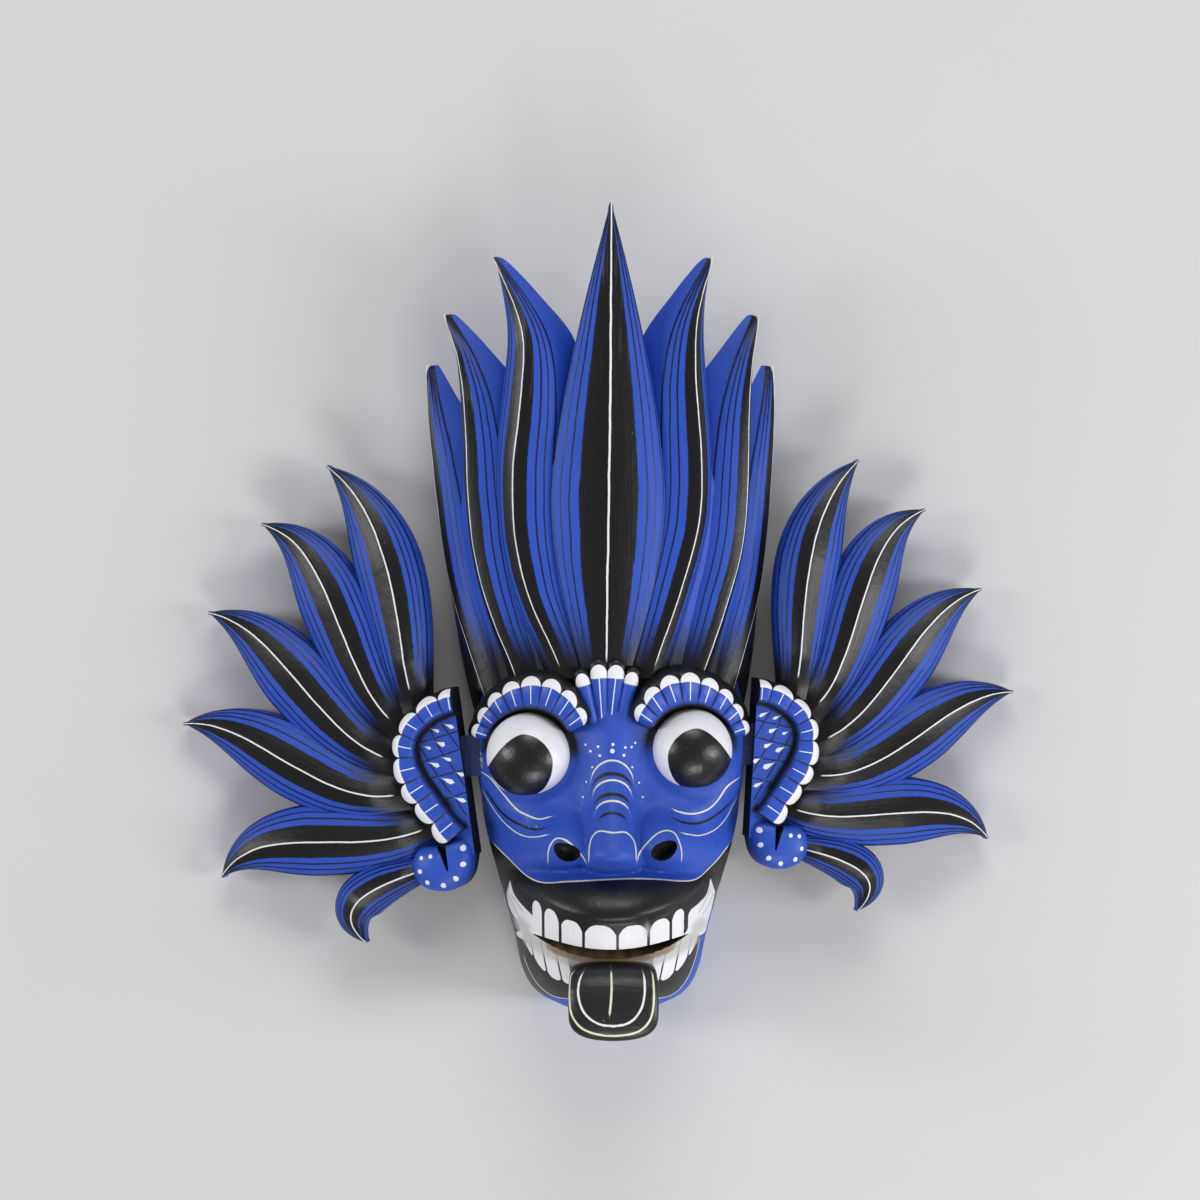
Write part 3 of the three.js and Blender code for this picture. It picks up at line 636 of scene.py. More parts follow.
def crownFlame(flame, side):
    tipFrom, closer = crown["tipFrom"], np.sin(np.linspace(0.13, math.pi / 2, crown["tipRings"]))
    t = np.concatenate([np.linspace(0, tipFrom, crown["stations"]), tipFrom + (1 - tipFrom) * closer])[:, None]
    roundTip = roundedEnd(t, crown["roundFrom"], 0.03)
    y = flame["rootY"] + (flame["tipY"] - flame["rootY"]) * t
    toAngle = np.degrees(1 / (crownHalf(y) + 2))
    path, outer = flame["path"], flame["outer"]
    if side < 0:
        path, outer = flame.get("leftPath", path), flame.get("leftOuter", outer)
    ridge = curveThrough(path, t)
    near = flame["inner"][0] * leaf(t, *flame["inner"][1:]) * roundTip
    far = outer[0] * leaf(t, *outer[1:]) * roundTip
    fall = beyond(t, crown["fallFrom"]) ** 2
    rise = crown["ridgeRise"] * np.sin(math.pi * (0.18 + 0.72 * t)) - 2 * fall
    thin = beyond(t, crown["thinFrom"]) ** 1.3
    inner = rise - (crown["wall"] + (crown["tipWall"] - crown["wall"]) * thin)
    edge = np.maximum(flame["edge"] - 2 * fall, inner + 1.5)
    edge = np.minimum(edge, rise - 0.6)
    share = facetShares(crown["facetPoints"])[None]
    offset = share * np.where(share < 0, near, far)
    facets = onCrown(side * (ridge + offset * toAngle), y, edge + (rise - edge) * ridgeShape(share))
    down = np.array([[0.3, 0.65, 1.0]])
    wallLift = edge + (inner - edge) * down
    farWall = onCrown(side * (ridge + far * toAngle + 0 * down), y, wallLift)
    bevel = curveThrough(flame["bevel"], t) * roundTip * down[:, ::-1]
    nearWall = onCrown(side * (ridge - (near + bevel) * toAngle), y, wallLift[:, ::-1])
    back = onCrown(side * ridge, y, inner)
    rings = np.concatenate([facets, farWall, back, nearWall], 1)
    walls = rings.shape[1] - share.shape[1]
    pad = np.zeros((1, walls))
    shares, offsets = np.concatenate([share, pad], 1), np.concatenate([offset, np.repeat(pad, len(t), 0)], 1)
    mistAndShade = 1 - ease(y, crown["mistFrom"], crown["mistTo"])
    greyStreaks = flame["greyStreaks"][0 if side < 0 else 1] * ease(t, 0.35, 0.85)
    line = flame["line"] * (1 - 0.35 * ease(t, 0.7, 1.0) - 0.25 * (1 - ease(t, 0, 0.3)))
    bands = np.where(shares <= 0, flame["bands"][0], flame["bands"][1])
    columns = ["flamePaint"] * (share.shape[1] - 1) + ["wallPaint"] * (walls + 1)
    run = (flame["tipY"] - flame["rootY"]) * t
    return loft(rings, columns, "wallPaint", stroke=stack(shares, offsets, t), zone=stack(run, bands, line),
                haze=stack(mistAndShade, greyStreaks, 0.35 * greyStreaks * ease(t, 0.8, 1.0) + 0 * shares))


def crownCoreSkin():
    c = crownCore
    angle = np.linspace(-c["reach"], c["reach"], 81)[:, None]
    aside = (angle / c["reach"]) ** 2
    front, back = c["frontRim"] - c["frontDrop"] * aside, c["backRim"] - c["backDrop"] * aside
    up = np.linspace(0, 1, 12)[None]
    outside = onCrown(angle, c["bottom"] + (front - c["bottom"]) * up, -c["sink"])
    slope = np.linspace(0.2, 1, 6)[None]
    rim = onCrown(angle, front + (back - front) * slope, -c["sink"] - (c["backSink"] - c["sink"]) * slope)
    inside = onCrown(angle, back + (c["bottom"] - back) * np.linspace(0, 1, 8)[None], -crown["wall"])
    rings = np.concatenate([outside, rim, inside], 1)
    mistAndShade = 1 - ease(rings[..., 1], crown["mistFrom"], crown["mistTo"])
    return loft(rings, ["wallPaint"] * rings.shape[1], "wallPaint", haze=stack(mistAndShade, 0 * mistAndShade, 0 * mistAndShade))


# The face: one block with eyes, brows, nose, mouth and tongue
face = {
    "halfWidth": [[-97, 19], [-92, 28], [-84, 33], [-71, 36], [-58, 39.5], [-44, 42.5], [-24, 47.5], [0, 50],
                  [22, 50], [38, 49]],
    "depth": [[-97, 30], [-92, 42], [-84, 52], [-75, 58], [-71, 61], [-64, 64], [-57, 65], [-50, 61.5],
              [-44, 53], [-36, 49], [-18, 46], [0, 44], [22, 43], [38, 42]],
    "squareness": [[-97, 2.35], [-34, 2.35], [-20, 3.6], [-12, 5], [4, 5], [12, 3.4], [24, 2.5], [38, 2.35]],
    "stations": 160, "around": 168, "backZ": -3.0,
    "lipStep": 1.3,  # how far the black lip stands over the teeth
    "cheek": {"x": 31, "y": -24, "rise": 2.5, "wide": 12, "tall": 9},
}
eye = {"left": (-29.6, -2.5, 37.5, 15.9), "right": (29.3, -0.4, 37.5, 15.2),  # middle and radius
       "socketDepth": 1.6, "socketOut": 1.5, "socketWide": 3.0,
       "pupil": [(15.4, -4.2), (13.6, -1.4), (10.8, 2.4), (6.4, 6.6), (2.2, 8.4), (-2.3, 7.3), (-6, 4.4),
                 (-8.3, 0.2), (-8.6, -2.9), (-7.7, -7.4), (-5.2, -11.6), (-1.2, -14.2), (2.5, -14.8),
                 (6.8, -13.8), (11.3, -10.4), (14.2, -6.8)]}  # drawn to a point on the outer side
nose = {"x": 0.5, "foot": 38, "top": 15, "end": -44, "flare": (-30, -18),
        "ridge": [[15, 45], [6, 48.5], [-6, 51.5], [-18, 56], [-28, 63], [-35, 67.6], [-38.6, 67.2], [-40.8, 62],
                  [-44, 53]],
        "halfWidth": [[15, 9], [6, 8.5], [-6, 9], [-18, 10], [-28, 11.5], [-36, 12.8], [-41, 12.5], [-45, 9]]}
nostril = {"left": -16.0, "right": 17.6, "y": -34.5, "z": 52, "wing": (11.8, 10.8, 12.2), "below": 7.4,
           "hole": (5.4, 3.7, 8), "holeTilt": 34, "holeZ": 63,
           "holeLeft": (-15.8, -36.2), "holeRight": (19.4, -35.4)}
mouth = {"halfWidth": 28, "middleY": -73.2, "cornerLift": 6, "halfHeight": 2.1, "backZ": 34, "frontZ": 90,
         "floorRise": 3.0, "lipY": -60.4, "lipBend": 0.0095, "lipHalf": 36}
hollow = {"sideWall": 13, "frontWall": 17, "bottom": -80, "top": 150, "deepest": 34, "squareness": 2.35}

lipLine = [(-42.6, -36), (-38.3, -39.8), (-31.5, -45.6), (-25.2, -47.7), (-15.4, -47), (-4.3, -46.3),
           (7.3, -45.9), (16.6, -46.3), (28.6, -47.5), (33, -46.5), (38.2, -42.2), (43.2, -36.3)]
chinLeft = [(-32.3, -76.5), (-30.8, -80.6), (-27.9, -85.9), (-24.3, -89.4), (-20.8, -91.2), (-15, -91.4)]
chinRight = [(15, -91.4), (21.5, -91.2), (25, -89.4), (28.5, -84.7), (31.5, -77.1), (33.2, -69.4)]
chinEdge = [(-60, -92.5), (-33, -92.5), (-26, -91.8), (-20.8, -91.4), (-15, -91.4), (0, -91.8), *chinRight,
            (36, -62), (60, -50)]
cornerLeft = [(-37.1, -48.6), (-35.5, -53.3), (-32.2, -56.9), (-29.3, -59.2), (-28.1, -60.5), (-25, -66.8),
              (-28.1, -69.3), (-31.6, -70.5), (-35.5, -69.6), (-33.4, -67), (-33.9, -65), (-38.6, -57.4)]
cornerRight = [(36.8, -47.8), (37.7, -50.4), (39.5, -56.9), (37.9, -62.2), (35.6, -68.4), (32, -69),
               (26.4, -67.5), (27.9, -65.2), (28.5, -58.7), (31.8, -56.3), (35.3, -53.3)]
teethRows = {
    "upperGaps": [-28.9, -24.5, -18.3, -9.9, 2.4, 13.6, 21.7, 27],  # between the upper teeth, across the face
    "upperTops": [[-32, -52], [-26.4, -54.4], [-21.3, -56.8], [-14.6, -60.1], [-3.8, -61.6], [7.7, -61.7],
                  [17.9, -59.9], [24.6, -57], [30, -54]],
    "upperFoot": -71, "upperBend": 0.0088,
    "lowerGaps": [15.5, 19.6, 24.6, 28.6, 31],  # between the lower teeth, out from the middle
    "lowerTips": [[15, -85.2], [19.6, -84.4], [24.6, -81.9], [28.6, -76.8], [31, -72]],
    "lowerWidth": 4.4, "splay": 0.2, "splayFrom": -74,
}
faceWear = [  # strength, middle and reach of each worn place
    (0.2, (28, -40), (8, 6)), (0.2, (-28, -40), (8, 6)),
    (0.55, (-28, -28), (6, 1.4)),  # one cheek line is rubbed
    (1.3, (-48.5, -5), (2.0, 4.5)),  # scuffed beside the left wing's slot
]


def bridgeArc(top, half, drop):
    turn = np.linspace(-1.45, 1.45, 9)
    return [(nose["x"] + half * math.sin(a), top - drop * (1 - math.cos(a))) for a in turn]


strokes = {  # tone, half width in mm, and the shares over which the two ends thin out
    "lip": ("cream", 0.32, (0, 0)), "chin": ("cream", 0.32, (0.06, 0.06)),
    "cheek": ("cream", 0.30, (0.05, 0.05)), "cheekDark": ("black", 0.62, (0.25, 0.25)),
    "noseRim": ("cream", 0.28, (0.04, 0.04)), "bridgeTop": ("cream", 0.30, (0.2, 0.2)),
    "bridge": ("cream", 0.34, (0.2, 0.2)), "bridgeDark": ("black", 0.62, (0.3, 0.3)),
    "bridgeEnd": ("black", 0.52, (0.3, 0.3)), "crease": ("black", 0.2, (0.1, 0.1)),
    "tongueEdge": ("cream", 0.38, (0.03, 0.03)), "tongueInner": ("white", 0.38, (0.05, 0.05)),
    "tongueMiddle": ("cream", 0.38, (0.06, 0.06)), "lattice": ("black", 0.3, (0, 0)),
}
faceLines = [(*strokes[stroke], points) for stroke, points in (
    ("lip", lipLine),
    ("chin", chinLeft),
    ("chin", chinRight),
    ("cheek", [(-48.6, -8.4), (-44.4, -10.5), (-39.7, -15.9), (-34.2, -21.8), (-29.8, -24), (-25.8, -24.9),
               (-21, -23.6)]),
    ("cheekDark", [(-48.6, -11), (-43.8, -18.5), (-40, -23.2), (-35.8, -26.2), (-31.1, -28), (-26.9, -28.6),
                   (-22.1, -27.1), (-19.8, -25.6)]),
    ("cheek", [(-48.2, -14.5), (-45.6, -18.5), (-42.4, -23.2), (-38.8, -27.4), (-34, -30.6), (-29.9, -31.4),
               (-25.7, -30.8), (-22.1, -29.6)]),
    ("cheek", [(48, -10.4), (42.7, -13.7), (39.4, -18.3), (36.2, -21.4), (32.4, -22.9), (28.3, -23.1),
               (24.1, -22.1), (22.3, -21.2)]),
    ("cheekDark", [(48, -15.8), (44.9, -19.1), (40.7, -22.7), (36.6, -25.3), (31.9, -26.7), (27.1, -26.2),
                   (22.4, -24.4), (19.4, -23.8)]),
    ("cheek", [(47.6, -17.2), (44.9, -21.4), (43.1, -25), (40.2, -28.3), (37.2, -30.1), (32.4, -31),
               (28.3, -30.2), (25, -29.2)]),
    ("noseRim", [(-22.7, -41), (-22.4, -35.3), (-20.7, -31.8), (-19, -30.8), (-16, -31.5), (-12.5, -34.5),
                 (-9.6, -38.5), (-8.7, -40.6)]),
    ("noseRim", [(9.2, -40), (10.5, -35.9), (13.7, -31.8), (17.2, -28.9), (20.7, -28.3), (23.1, -29.5),
                 (24.8, -33), (25.5, -36.5), (25.5, -40.2)]),
    ("noseRim", [(-8, -40), (-7.3, -31.8), (-4.6, -28.4), (0.7, -28.7), (5.2, -28.7), (7.9, -31.1),
                 (8.9, -34.3), (9.1, -39.4)]),
    ("bridgeTop", bridgeArc(-3.5, 8, 9.5)),
    ("bridgeDark", bridgeArc(-8.2, 7.9, 8)),
    ("bridge", bridgeArc(-10.5, 7.3, 7)),
    ("bridgeDark", bridgeArc(-15.5, 7, 6.3)),
    ("bridge", bridgeArc(-17.8, 6.4, 5.2)),
    ("bridgeEnd", bridgeArc(-22, 5.5, 4.4)),
    ("crease", [(-38.1, -54.5), (-35.5, -58.2), (-33.1, -62.5)]),
    ("crease", [(-36.9, -53.9), (-34.2, -56.6), (-32.1, -59.2)]),
    ("crease", [(37.1, -50.6), (34.8, -55.6), (31.8, -60.1)]),
    ("crease", [(38.3, -53.9), (36.1, -57.9), (33.3, -61.6)]),
)]
bridgeDots = [(-4.6, 1.3, 0.5), (0.8, 2.2, 0.5), (0.6, -0.2, 0.8), (-4, -1.9, 0.5), (4.8, -1.8, 0.5),
              (-7.4, -0.4, 0.45), (5.3, 1, 0.45), (-9.2, 1.9, 0.4), (7.6, 1.1, 0.4), (8.9, 2.6, 0.4),
              (-6.6, -6.2, 0.4), (7.8, -6.2, 0.4), (-8.8, -11.5, 0.35), (10.3, -11.8, 0.35),
              (-10.1, -17, 0.35), (11.6, -17, 0.35)]


def faceSection(y, samples):  # half-round front of the head at one height, evenly spaced along its curve
    a, c = curveThrough(face["halfWidth"], y), curveThrough(face["depth"], y)
    turn = np.linspace(-math.pi / 2, math.pi / 2, 721)
    power = 2 / curveThrough(face["squareness"], y)
    x = a * signedPower(np.sin(turn), power)
    z = c * np.maximum(np.cos(turn), 0) ** power
    run = np.concatenate([[0], np.cumsum(np.hypot(np.diff(x), np.diff(z)))])
    at = np.linspace(0, run[-1], samples)
    return np.interp(at, run, x), np.interp(at, run, z)


def noseHeight(x, y):
    half = curveThrough(nose["halfWidth"], y)
    rise = curveThrough(nose["ridge"], y) - nose["foot"]
    share = np.abs(x - nose["x"]) / half
    end = np.maximum(1 - np.minimum(share, 1) ** 2, 0) ** 0.4  # full at the nose's end
    bridge = 0.5 + 0.5 * np.cos(math.pi * np.minimum(share / 2, 1))  # flaring into the face above it
    flare = ease(y, *nose["flare"])
    steep = np.maximum(share - 1 - flare, 0) * half * 3
    steep = steep + np.maximum(y - nose["top"], 0) * 1.5 + np.maximum(nose["end"] - y, 0) * 4
    return nose["foot"] + rise * (end + (bridge - end) * flare) - steep


def nostrilHeight(x, y, side):
    wide, tall, deep = nostril["wing"]
    tall = np.where(y < nostril["y"], nostril["below"], tall)
    out = np.hypot((x - nostril[side]) / wide, (y - nostril["y"]) / tall)
    dome = np.where(out < 1, np.cos(math.pi / 2 * np.minimum(out, 1)), (1 - out) * math.pi / 2)
    return nostril["z"] + deep * dome


def lipEdge(x):
    return mouth["lipY"] + mouth["lipBend"] * x ** 2


def slotMiddle(x):
    return mouth["middleY"] + mouth["cornerLift"] * (x / mouth["halfWidth"]) ** 2


def insideOf(outline, spots):  # signed distance into a closed outline
    ring = smoothPath([*outline, outline[0]], 90)
    gap = np.abs(offsetsFrom(ring, spots)[0])
    x, y = spots[:, :1], spots[:, 1:]
    x0, y0, x1, y1 = *ring[:-1].T, *ring[1:].T
    crossing = ((y0 > y) != (y1 > y)) & (x < (x1 - x0) * (y - y0) / np.where(y1 == y0, 1e-9, y1 - y0) + x0)
    return np.where(crossing.sum(1) % 2 == 1, gap, -gap)


def faceSkin():
    y = np.linspace(face["halfWidth"][0][0], face["halfWidth"][-1][0], face["stations"])
    sections = [faceSection(v, face["around"]) for v in y]
    x, z = np.array([s[0] for s in sections]), np.array([s[1] for s in sections])
    y = np.repeat(y[:, None], face["around"], 1)
    front = ease(z, 18, 34)
    for side in ("left", "right"):
        cx, cy, _, r = eye[side]
        ring = np.hypot(x - cx, y - cy)
        z = z - front * eye["socketDepth"] * np.exp(-((ring - r - eye["socketOut"]) / eye["socketWide"]) ** 2)
        cheek = face["cheek"]
        cheekAt = (math.copysign(cheek["x"], cx), cheek["y"])
        z = z + front * cheek["rise"] * blot(x, y, cheekAt, (cheek["wide"], cheek["tall"]))
    z = softMax(z, noseHeight(x, y), 7.0)
    for side in ("left", "right"):
        z = softMax(z, nostrilHeight(x, y, side), 5.0)
    inMouth = ease(mouth["lipHalf"] - np.abs(x), 0, 6)
    overLip = y - lipEdge(x)
    aboveTeeth = ease(overLip, -1.3, 1.3) * (1 - ease(overLip, 2, 12))
    z = z + front * face["lipStep"] * inMouth * aboveTeeth
    under = slotMiddle(x) - mouth["halfHeight"] - y  # how far under the mouth slot
    z = z - front * inMouth * 2.6 * np.where(under > -1, np.exp(-np.maximum(under, 0) / 3.2), 0)
    down = face["backZ"] * np.linspace(0, 1, 5)[None, 1:]
    right, left = stack(x[:, -1:], y[:, -1:], down), stack(x[:, :1], y[:, :1], down[:, ::-1])
    rings = np.concatenate([stack(x, y, z), right, left], 1)
    return paintFace(loft(rings, ["facePaint"] * rings.shape[1], "facePaint"))


def paintFace(piece):
    spots = piece["points"][:, :2]
    x, y = spots.T
    z = piece["points"][:, 2]
    strokeMarks(piece, faceLines, bridgeDots)
    below = -offsetsFrom(smoothPath(lipLine, 120), spots)[0]
    above = offsetsFrom(smoothPath(chinEdge, 160), spots)[0]
    white = np.maximum(insideOf(cornerLeft, spots), insideOf(cornerRight, spots))
    white = np.where(z > 20, white, -9)
    upper = y > slotMiddle(x)
    rows, gaps = teethRows, np.array(teethRows["upperGaps"])
    bottom, top = rows["upperFoot"] + rows["upperBend"] * x ** 2, curveThrough(rows["upperTops"], x)
    out = np.abs(x) - rows["splay"] * (y - rows["splayFrom"])
    tips = curveThrough(rows["lowerTips"], out)
    rowUp = np.interp(x, gaps, np.arange(len(gaps)))
    rowUp = np.where(x < gaps[0], -0.5, np.where(x > gaps[-1], 9.5, rowUp))  # no tooth beyond the ends
    rowLow = teethStyle["rowShift"] + np.interp(out, rows["lowerGaps"], np.arange(len(rows["lowerGaps"])))
    widthUp = np.interp(x, (gaps[1:] + gaps[:-1]) / 2, np.diff(gaps))
    upperTeeth = stack(rowUp, (y - bottom) / (top - bottom), widthUp)
    tooth = np.where(upper[:, None], upperTeeth, stack(rowLow, y - tips, rows["lowerWidth"]))
    mistAndShade = ease(y, 22, 30)
    for side in ("left", "right"):
        cx, cy, _, r = eye[side]
        overEye = ease(y - cy, -6, 6) * (1 - ease(np.hypot(x - cx, y - cy), r + 1.0, r + 4.5))
        mistAndShade = np.maximum(np.maximum(mistAndShade, overEye), 0.9 * blot(x, y, (cx * 0.5, 11), (4.5, 6)))
    under, aside = slotMiddle(x) - mouth["halfHeight"] - y, np.abs(x)
    gum = np.where(upper, 0, (1 - ease(under, 2.0, 6.5)) * ease(aside, 5, 9) * (1 - ease(aside, 31, 34)))
    corner = np.hypot(aside - 32.5, (y + 65.0) * 1.1)
    gum = np.maximum(gum, 0.8 * (1 - ease(corner, 1.5, 5.5)) * (z > 20))
    gum = np.maximum(gum, 0.66 * blot(x, y, (13, -64), (1.7, 3.6)))  # one rubbed tooth
    slot = np.where(upper, 0, (1 - ease(under, 0.2, 2.8)) * (1 - ease(aside, 20, 27)))
    wear = sum(strength * blot(x, y, place, reach) for strength, place, reach in faceWear)
    zone = stack(np.minimum(below, above), white, slot)
    piece["marks"].update(zone=zone, tooth=tooth, haze=stack(mistAndShade, gum, wear))
    return piece


def eyeBall(side):
    cx, cy, cz, r = eye[side]
    lean = np.linspace(0.02, math.pi - 0.02, 56)[:, None]
    turn = np.linspace(0, 2 * math.pi, 96, endpoint=False)[None]
    rings = stack(cx + r * np.sin(lean) * np.cos(turn), cy + r * np.sin(lean) * np.sin(turn),
                  cz + r * np.cos(lean) + 0 * turn)
    outward = -1 if side == "left" else 1
    spots = stack(outward * (rings[..., 0] - cx), rings[..., 1] - cy).reshape(-1, 2)
    pupil = insideOf(eye["pupil"], spots).reshape(rings.shape[:2])
    return loft(rings, ["eyePaint"] * rings.shape[1], "eyePaint", stroke=stack(pupil, 0 * pupil, 0 * pupil))


brow = {
    "left": (-29.4, -1.6), "right": (29.3, -0.3),
    "inner": 16.0, "outer": [[12, 24.2], [40, 26], [72, 29.2], [95, 31.0], [115, 30.8], [152, 26.2]],
    "lobes": 8, "bulge": 0.5, "from": 12, "to": 152, "crest": 53, "drop": 21, "reach": 50, "foot": 10,
    "endDrop": 8,
    "perLobe": 12, "points": 24, "groove": 0.4, "swell": 0.4,
    "profile": [[0, -5], [0.06, -2.6], [0.2, -0.8], [0.5, 0.2], [0.75, -0.3], [0.9, -2.0], [1, -5.2]],
    "paintOut": ((0, 0.62, 0.845, 1), (0, 0.66, 0.96, 1.15)),  # where the caps begin and end across the band
}


def browBand(side):
    b = brow
    t = np.linspace(0, 1, b["lobes"] * b["perLobe"] + 1)[:, None]
    degrees = b["from"] + (b["to"] - b["from"]) * t
    angle = np.radians(degrees)
    lobe = np.abs(np.sin(math.pi * b["lobes"] * t)) ** 0.75
    outer = curveThrough(b["outer"], degrees) - b["bulge"] * (1 - lobe)
    share = np.linspace(0, 1, b["points"])[None]
    cx, cy = b["left" if side < 0 else "right"]
    radius = b["inner"] + (outer - b["inner"]) * share
    x = side * cx + radius * np.cos(angle)
    y = cy + radius * np.sin(angle)
    crest = b["crest"] - b["drop"] * (np.abs(x) / b["reach"]) ** 2.2
    crest = crest - b["endDrop"] * (2 - ease(t, -0.03, 0.05) - ease(1 - t, -0.03, 0.05))
    groove = b["groove"] * (1 - lobe) ** 2 * ease(share, 0.1, 0.3) * (1 - ease(share, 0.8, 0.95))
    body = curveThrough(b["profile"], share) + b["swell"] * lobe * np.sin(math.pi * share) ** 0.7
    z = np.maximum(b["foot"] + 2, crest + body - groove)
    rings = withFeet(stack(side * x, y, z), b["foot"])
    width = (outer + b["inner"]) / 2 * math.radians((b["to"] - b["from"]) / b["lobes"])
    out = np.interp(np.concatenate([share, [[1.0, 0.0]]], 1), *b["paintOut"])
    columns = ["lobePaint"] * (b["points"] - 1) + ["blackPaint"] * 3
    return loft(rings, columns, "blackPaint", stroke=stack(b["lobes"] * t, out, width), haze=(0, 0, 0))


fan = {"x": -1.3, "footY": 9.5, "footStep": 3.3,
       "topX": (-10.2, -3.5, 3.6, 10.0), "topY": (29.8, 33.4, 33.2, 30.4), "roundFrom": 0.86, "across": 19,
       "footHalf": 2.4, "topHalf": (3.0, 3.9, 3.9, 3.0), "footZ": 44.6, "topZ": 49.0, "rise": 3.4, "under": 30,
       "paintOut": ((0, 0.69, 0.9, 1), (0.16, 0.66, 0.95, 1.1)), "ticks": (0, 1, 1, 0)}


def fanPetal(index):
    t = np.linspace(0, 1, 40)[:, None]
    footX = fan["x"] + (index - 1.5) * fan["footStep"]
    x0 = footX + (fan["x"] + fan["topX"][index] - footX) * t
    y0 = fan["footY"] + (fan["topY"][index] - fan["footY"]) * t
    roundTop = roundedEnd(t, fan["roundFrom"], 0.01)
    half = (fan["footHalf"] + (fan["topHalf"][index] - fan["footHalf"]) * t) * roundTop
    across = np.sin(np.linspace(-math.pi / 2, math.pi / 2, fan["across"]))[None]
    lean = np.arctan2(fan["x"] + fan["topX"][index] - footX, fan["topY"][index] - fan["footY"])
    x, y = x0 + half * across * np.cos(lean), y0 - half * across * np.sin(lean)
    dome = np.sqrt(np.maximum(1 - across ** 2, 0)) ** 0.8
    z = fan["footZ"] + (fan["topZ"] - fan["footZ"]) * t - 2 + fan["rise"] * dome * roundTop ** 0.6
    rings = withFeet(stack(x, y, z), fan["under"])
    columns = ["lobePaint"] * (fan["across"] - 1) + ["blackPaint"] * 3
    phase = np.concatenate([0.5 + 0.499 * across, [[0.999, 0.001]]], 1)
    out = np.interp(t, *fan["paintOut"])
    shade = 0.45 * (1 - ease(t, 0, 0.25))
    return loft(rings, columns, "blackPaint", stroke=stack(index + phase, out, 2 * half),
                haze=stack(shade, 1.0 - fan["ticks"][index], 0 * t))


def mouthSlot():  # the roof under the teeth is painted black, a painted shade inside the slot; the bare floor slopes back up
    x = np.linspace(-mouth["halfWidth"], mouth["halfWidth"], 61)[:, None]
    middle = slotMiddle(x)
    half = mouth["halfHeight"] * (1 - (x / mouth["halfWidth"]) ** 4) + 0.3
    rise = mouth["floorRise"] * half / (mouth["halfHeight"] + 0.3)
    depth = np.linspace(0, 1, 10)[None]
    long = mouth["frontZ"] - mouth["backZ"]
    floor = stack(x, middle - half + rise * (1 - ease(depth, 0.0, 0.55)), mouth["backZ"] + long * depth)
    roof = stack(x, middle + half, mouth["frontZ"] - long * depth)
    rings = np.concatenate([floor, roof], 1)
    return loft(rings, ["bareWood"] * 9 + ["blackPaint"] * 11, "blackPaint")


tongue = {
    "path": [(-80.2, 44), (-79.8, 54), (-80.4, 60), (-83.2, 64.2), (-89, 66), (-96, 66), (-102.4, 65)],
    "halfWidth": [15, 15.2, 15.6, 16, 16.2, 16, 15.6], "thickness": 7.2, "x": 0.9,
    "roundFrom": 4.6, "squareness": 2.7, "edgeSquareness": 3.6,
    "lines": [
        (*strokes["tongueEdge"], [(-12.8, -78), (-14.4, -80), (-14.8, -89.3), (-13.3, -94.5), (-9.6, -98.3),
                                  (-2.6, -100.4), (3.8, -100.4), (10.1, -98.8), (13.8, -95), (15.2, -88.7),
                                  (15, -80), (14.2, -77.8)]),
        (*strokes["tongueInner"], [(-9.6, -78), (-11.2, -81.1), (-11.6, -86.3), (-9.6, -92.1), (-5, -95.9),
                                   (0.9, -97), (6.7, -95.6), (10.4, -91.5), (11.9, -86.3), (11.9, -80.5),
                                   (11.3, -77.8)]),
        (*strokes["tongueMiddle"], [(0.1, -77.8), (0.2, -85), (-0.5, -93.3)]),
    ],
}


def tongueSkin():
    last = len(tongue["path"]) - 1
    index = last * np.sin(np.linspace(0, math.pi / 2, 96))[:, None]  # closer together towards the tip
    y, z = (curveThrough([(k, p[n]) for k, p in enumerate(tongue["path"])], index) for n in (0, 1))
    tip = np.clip((index - tongue["roundFrom"]) / (last - tongue["roundFrom"]), 0, 0.9995)
    power = tongue["squareness"]
    half = curveThrough(list(enumerate(tongue["halfWidth"])), index) * (1 - tip ** power) ** (1 / power)
    blunt = np.sqrt(1 - 0.75 * tip ** 4)
    dy, dz = np.gradient(y[:, 0], index[:, 0])[:, None], np.gradient(z[:, 0], index[:, 0])[:, None]
    long = np.hypot(dy, dz)
    turn = np.linspace(0, 2 * math.pi, 88, endpoint=False)[None]
    edgePower = 2 / tongue["edgeSquareness"]
    across = half * signedPower(np.cos(turn), edgePower)
    thick = tongue["thickness"] / 2 * blunt * signedPower(np.sin(turn), edgePower)
    thick = thick * (1 + 0.16 * (1 - (across / 16) ** 2))
    thick = thick - 0.4 * np.exp(-(across / 1.2) ** 2) * (thick > 0) * ease(index, 2, 3) * (1 - tip)
    rings = stack(across + tongue["x"], y + dz / long * thick, z - dy / long * thick)
    piece = loft(rings, ["tonguePaint"] * rings.shape[1], "tonguePaint")
    red = blot(*piece["points"][:, :2].T, (-2.5, -95.2), (3, 1.6))  # a few red specks near the tip
    piece["marks"]["haze"] = stack(0 * red, red, 0.1)
    strokeMarks(piece, tongue["lines"], lowest=0.2)
    return piece


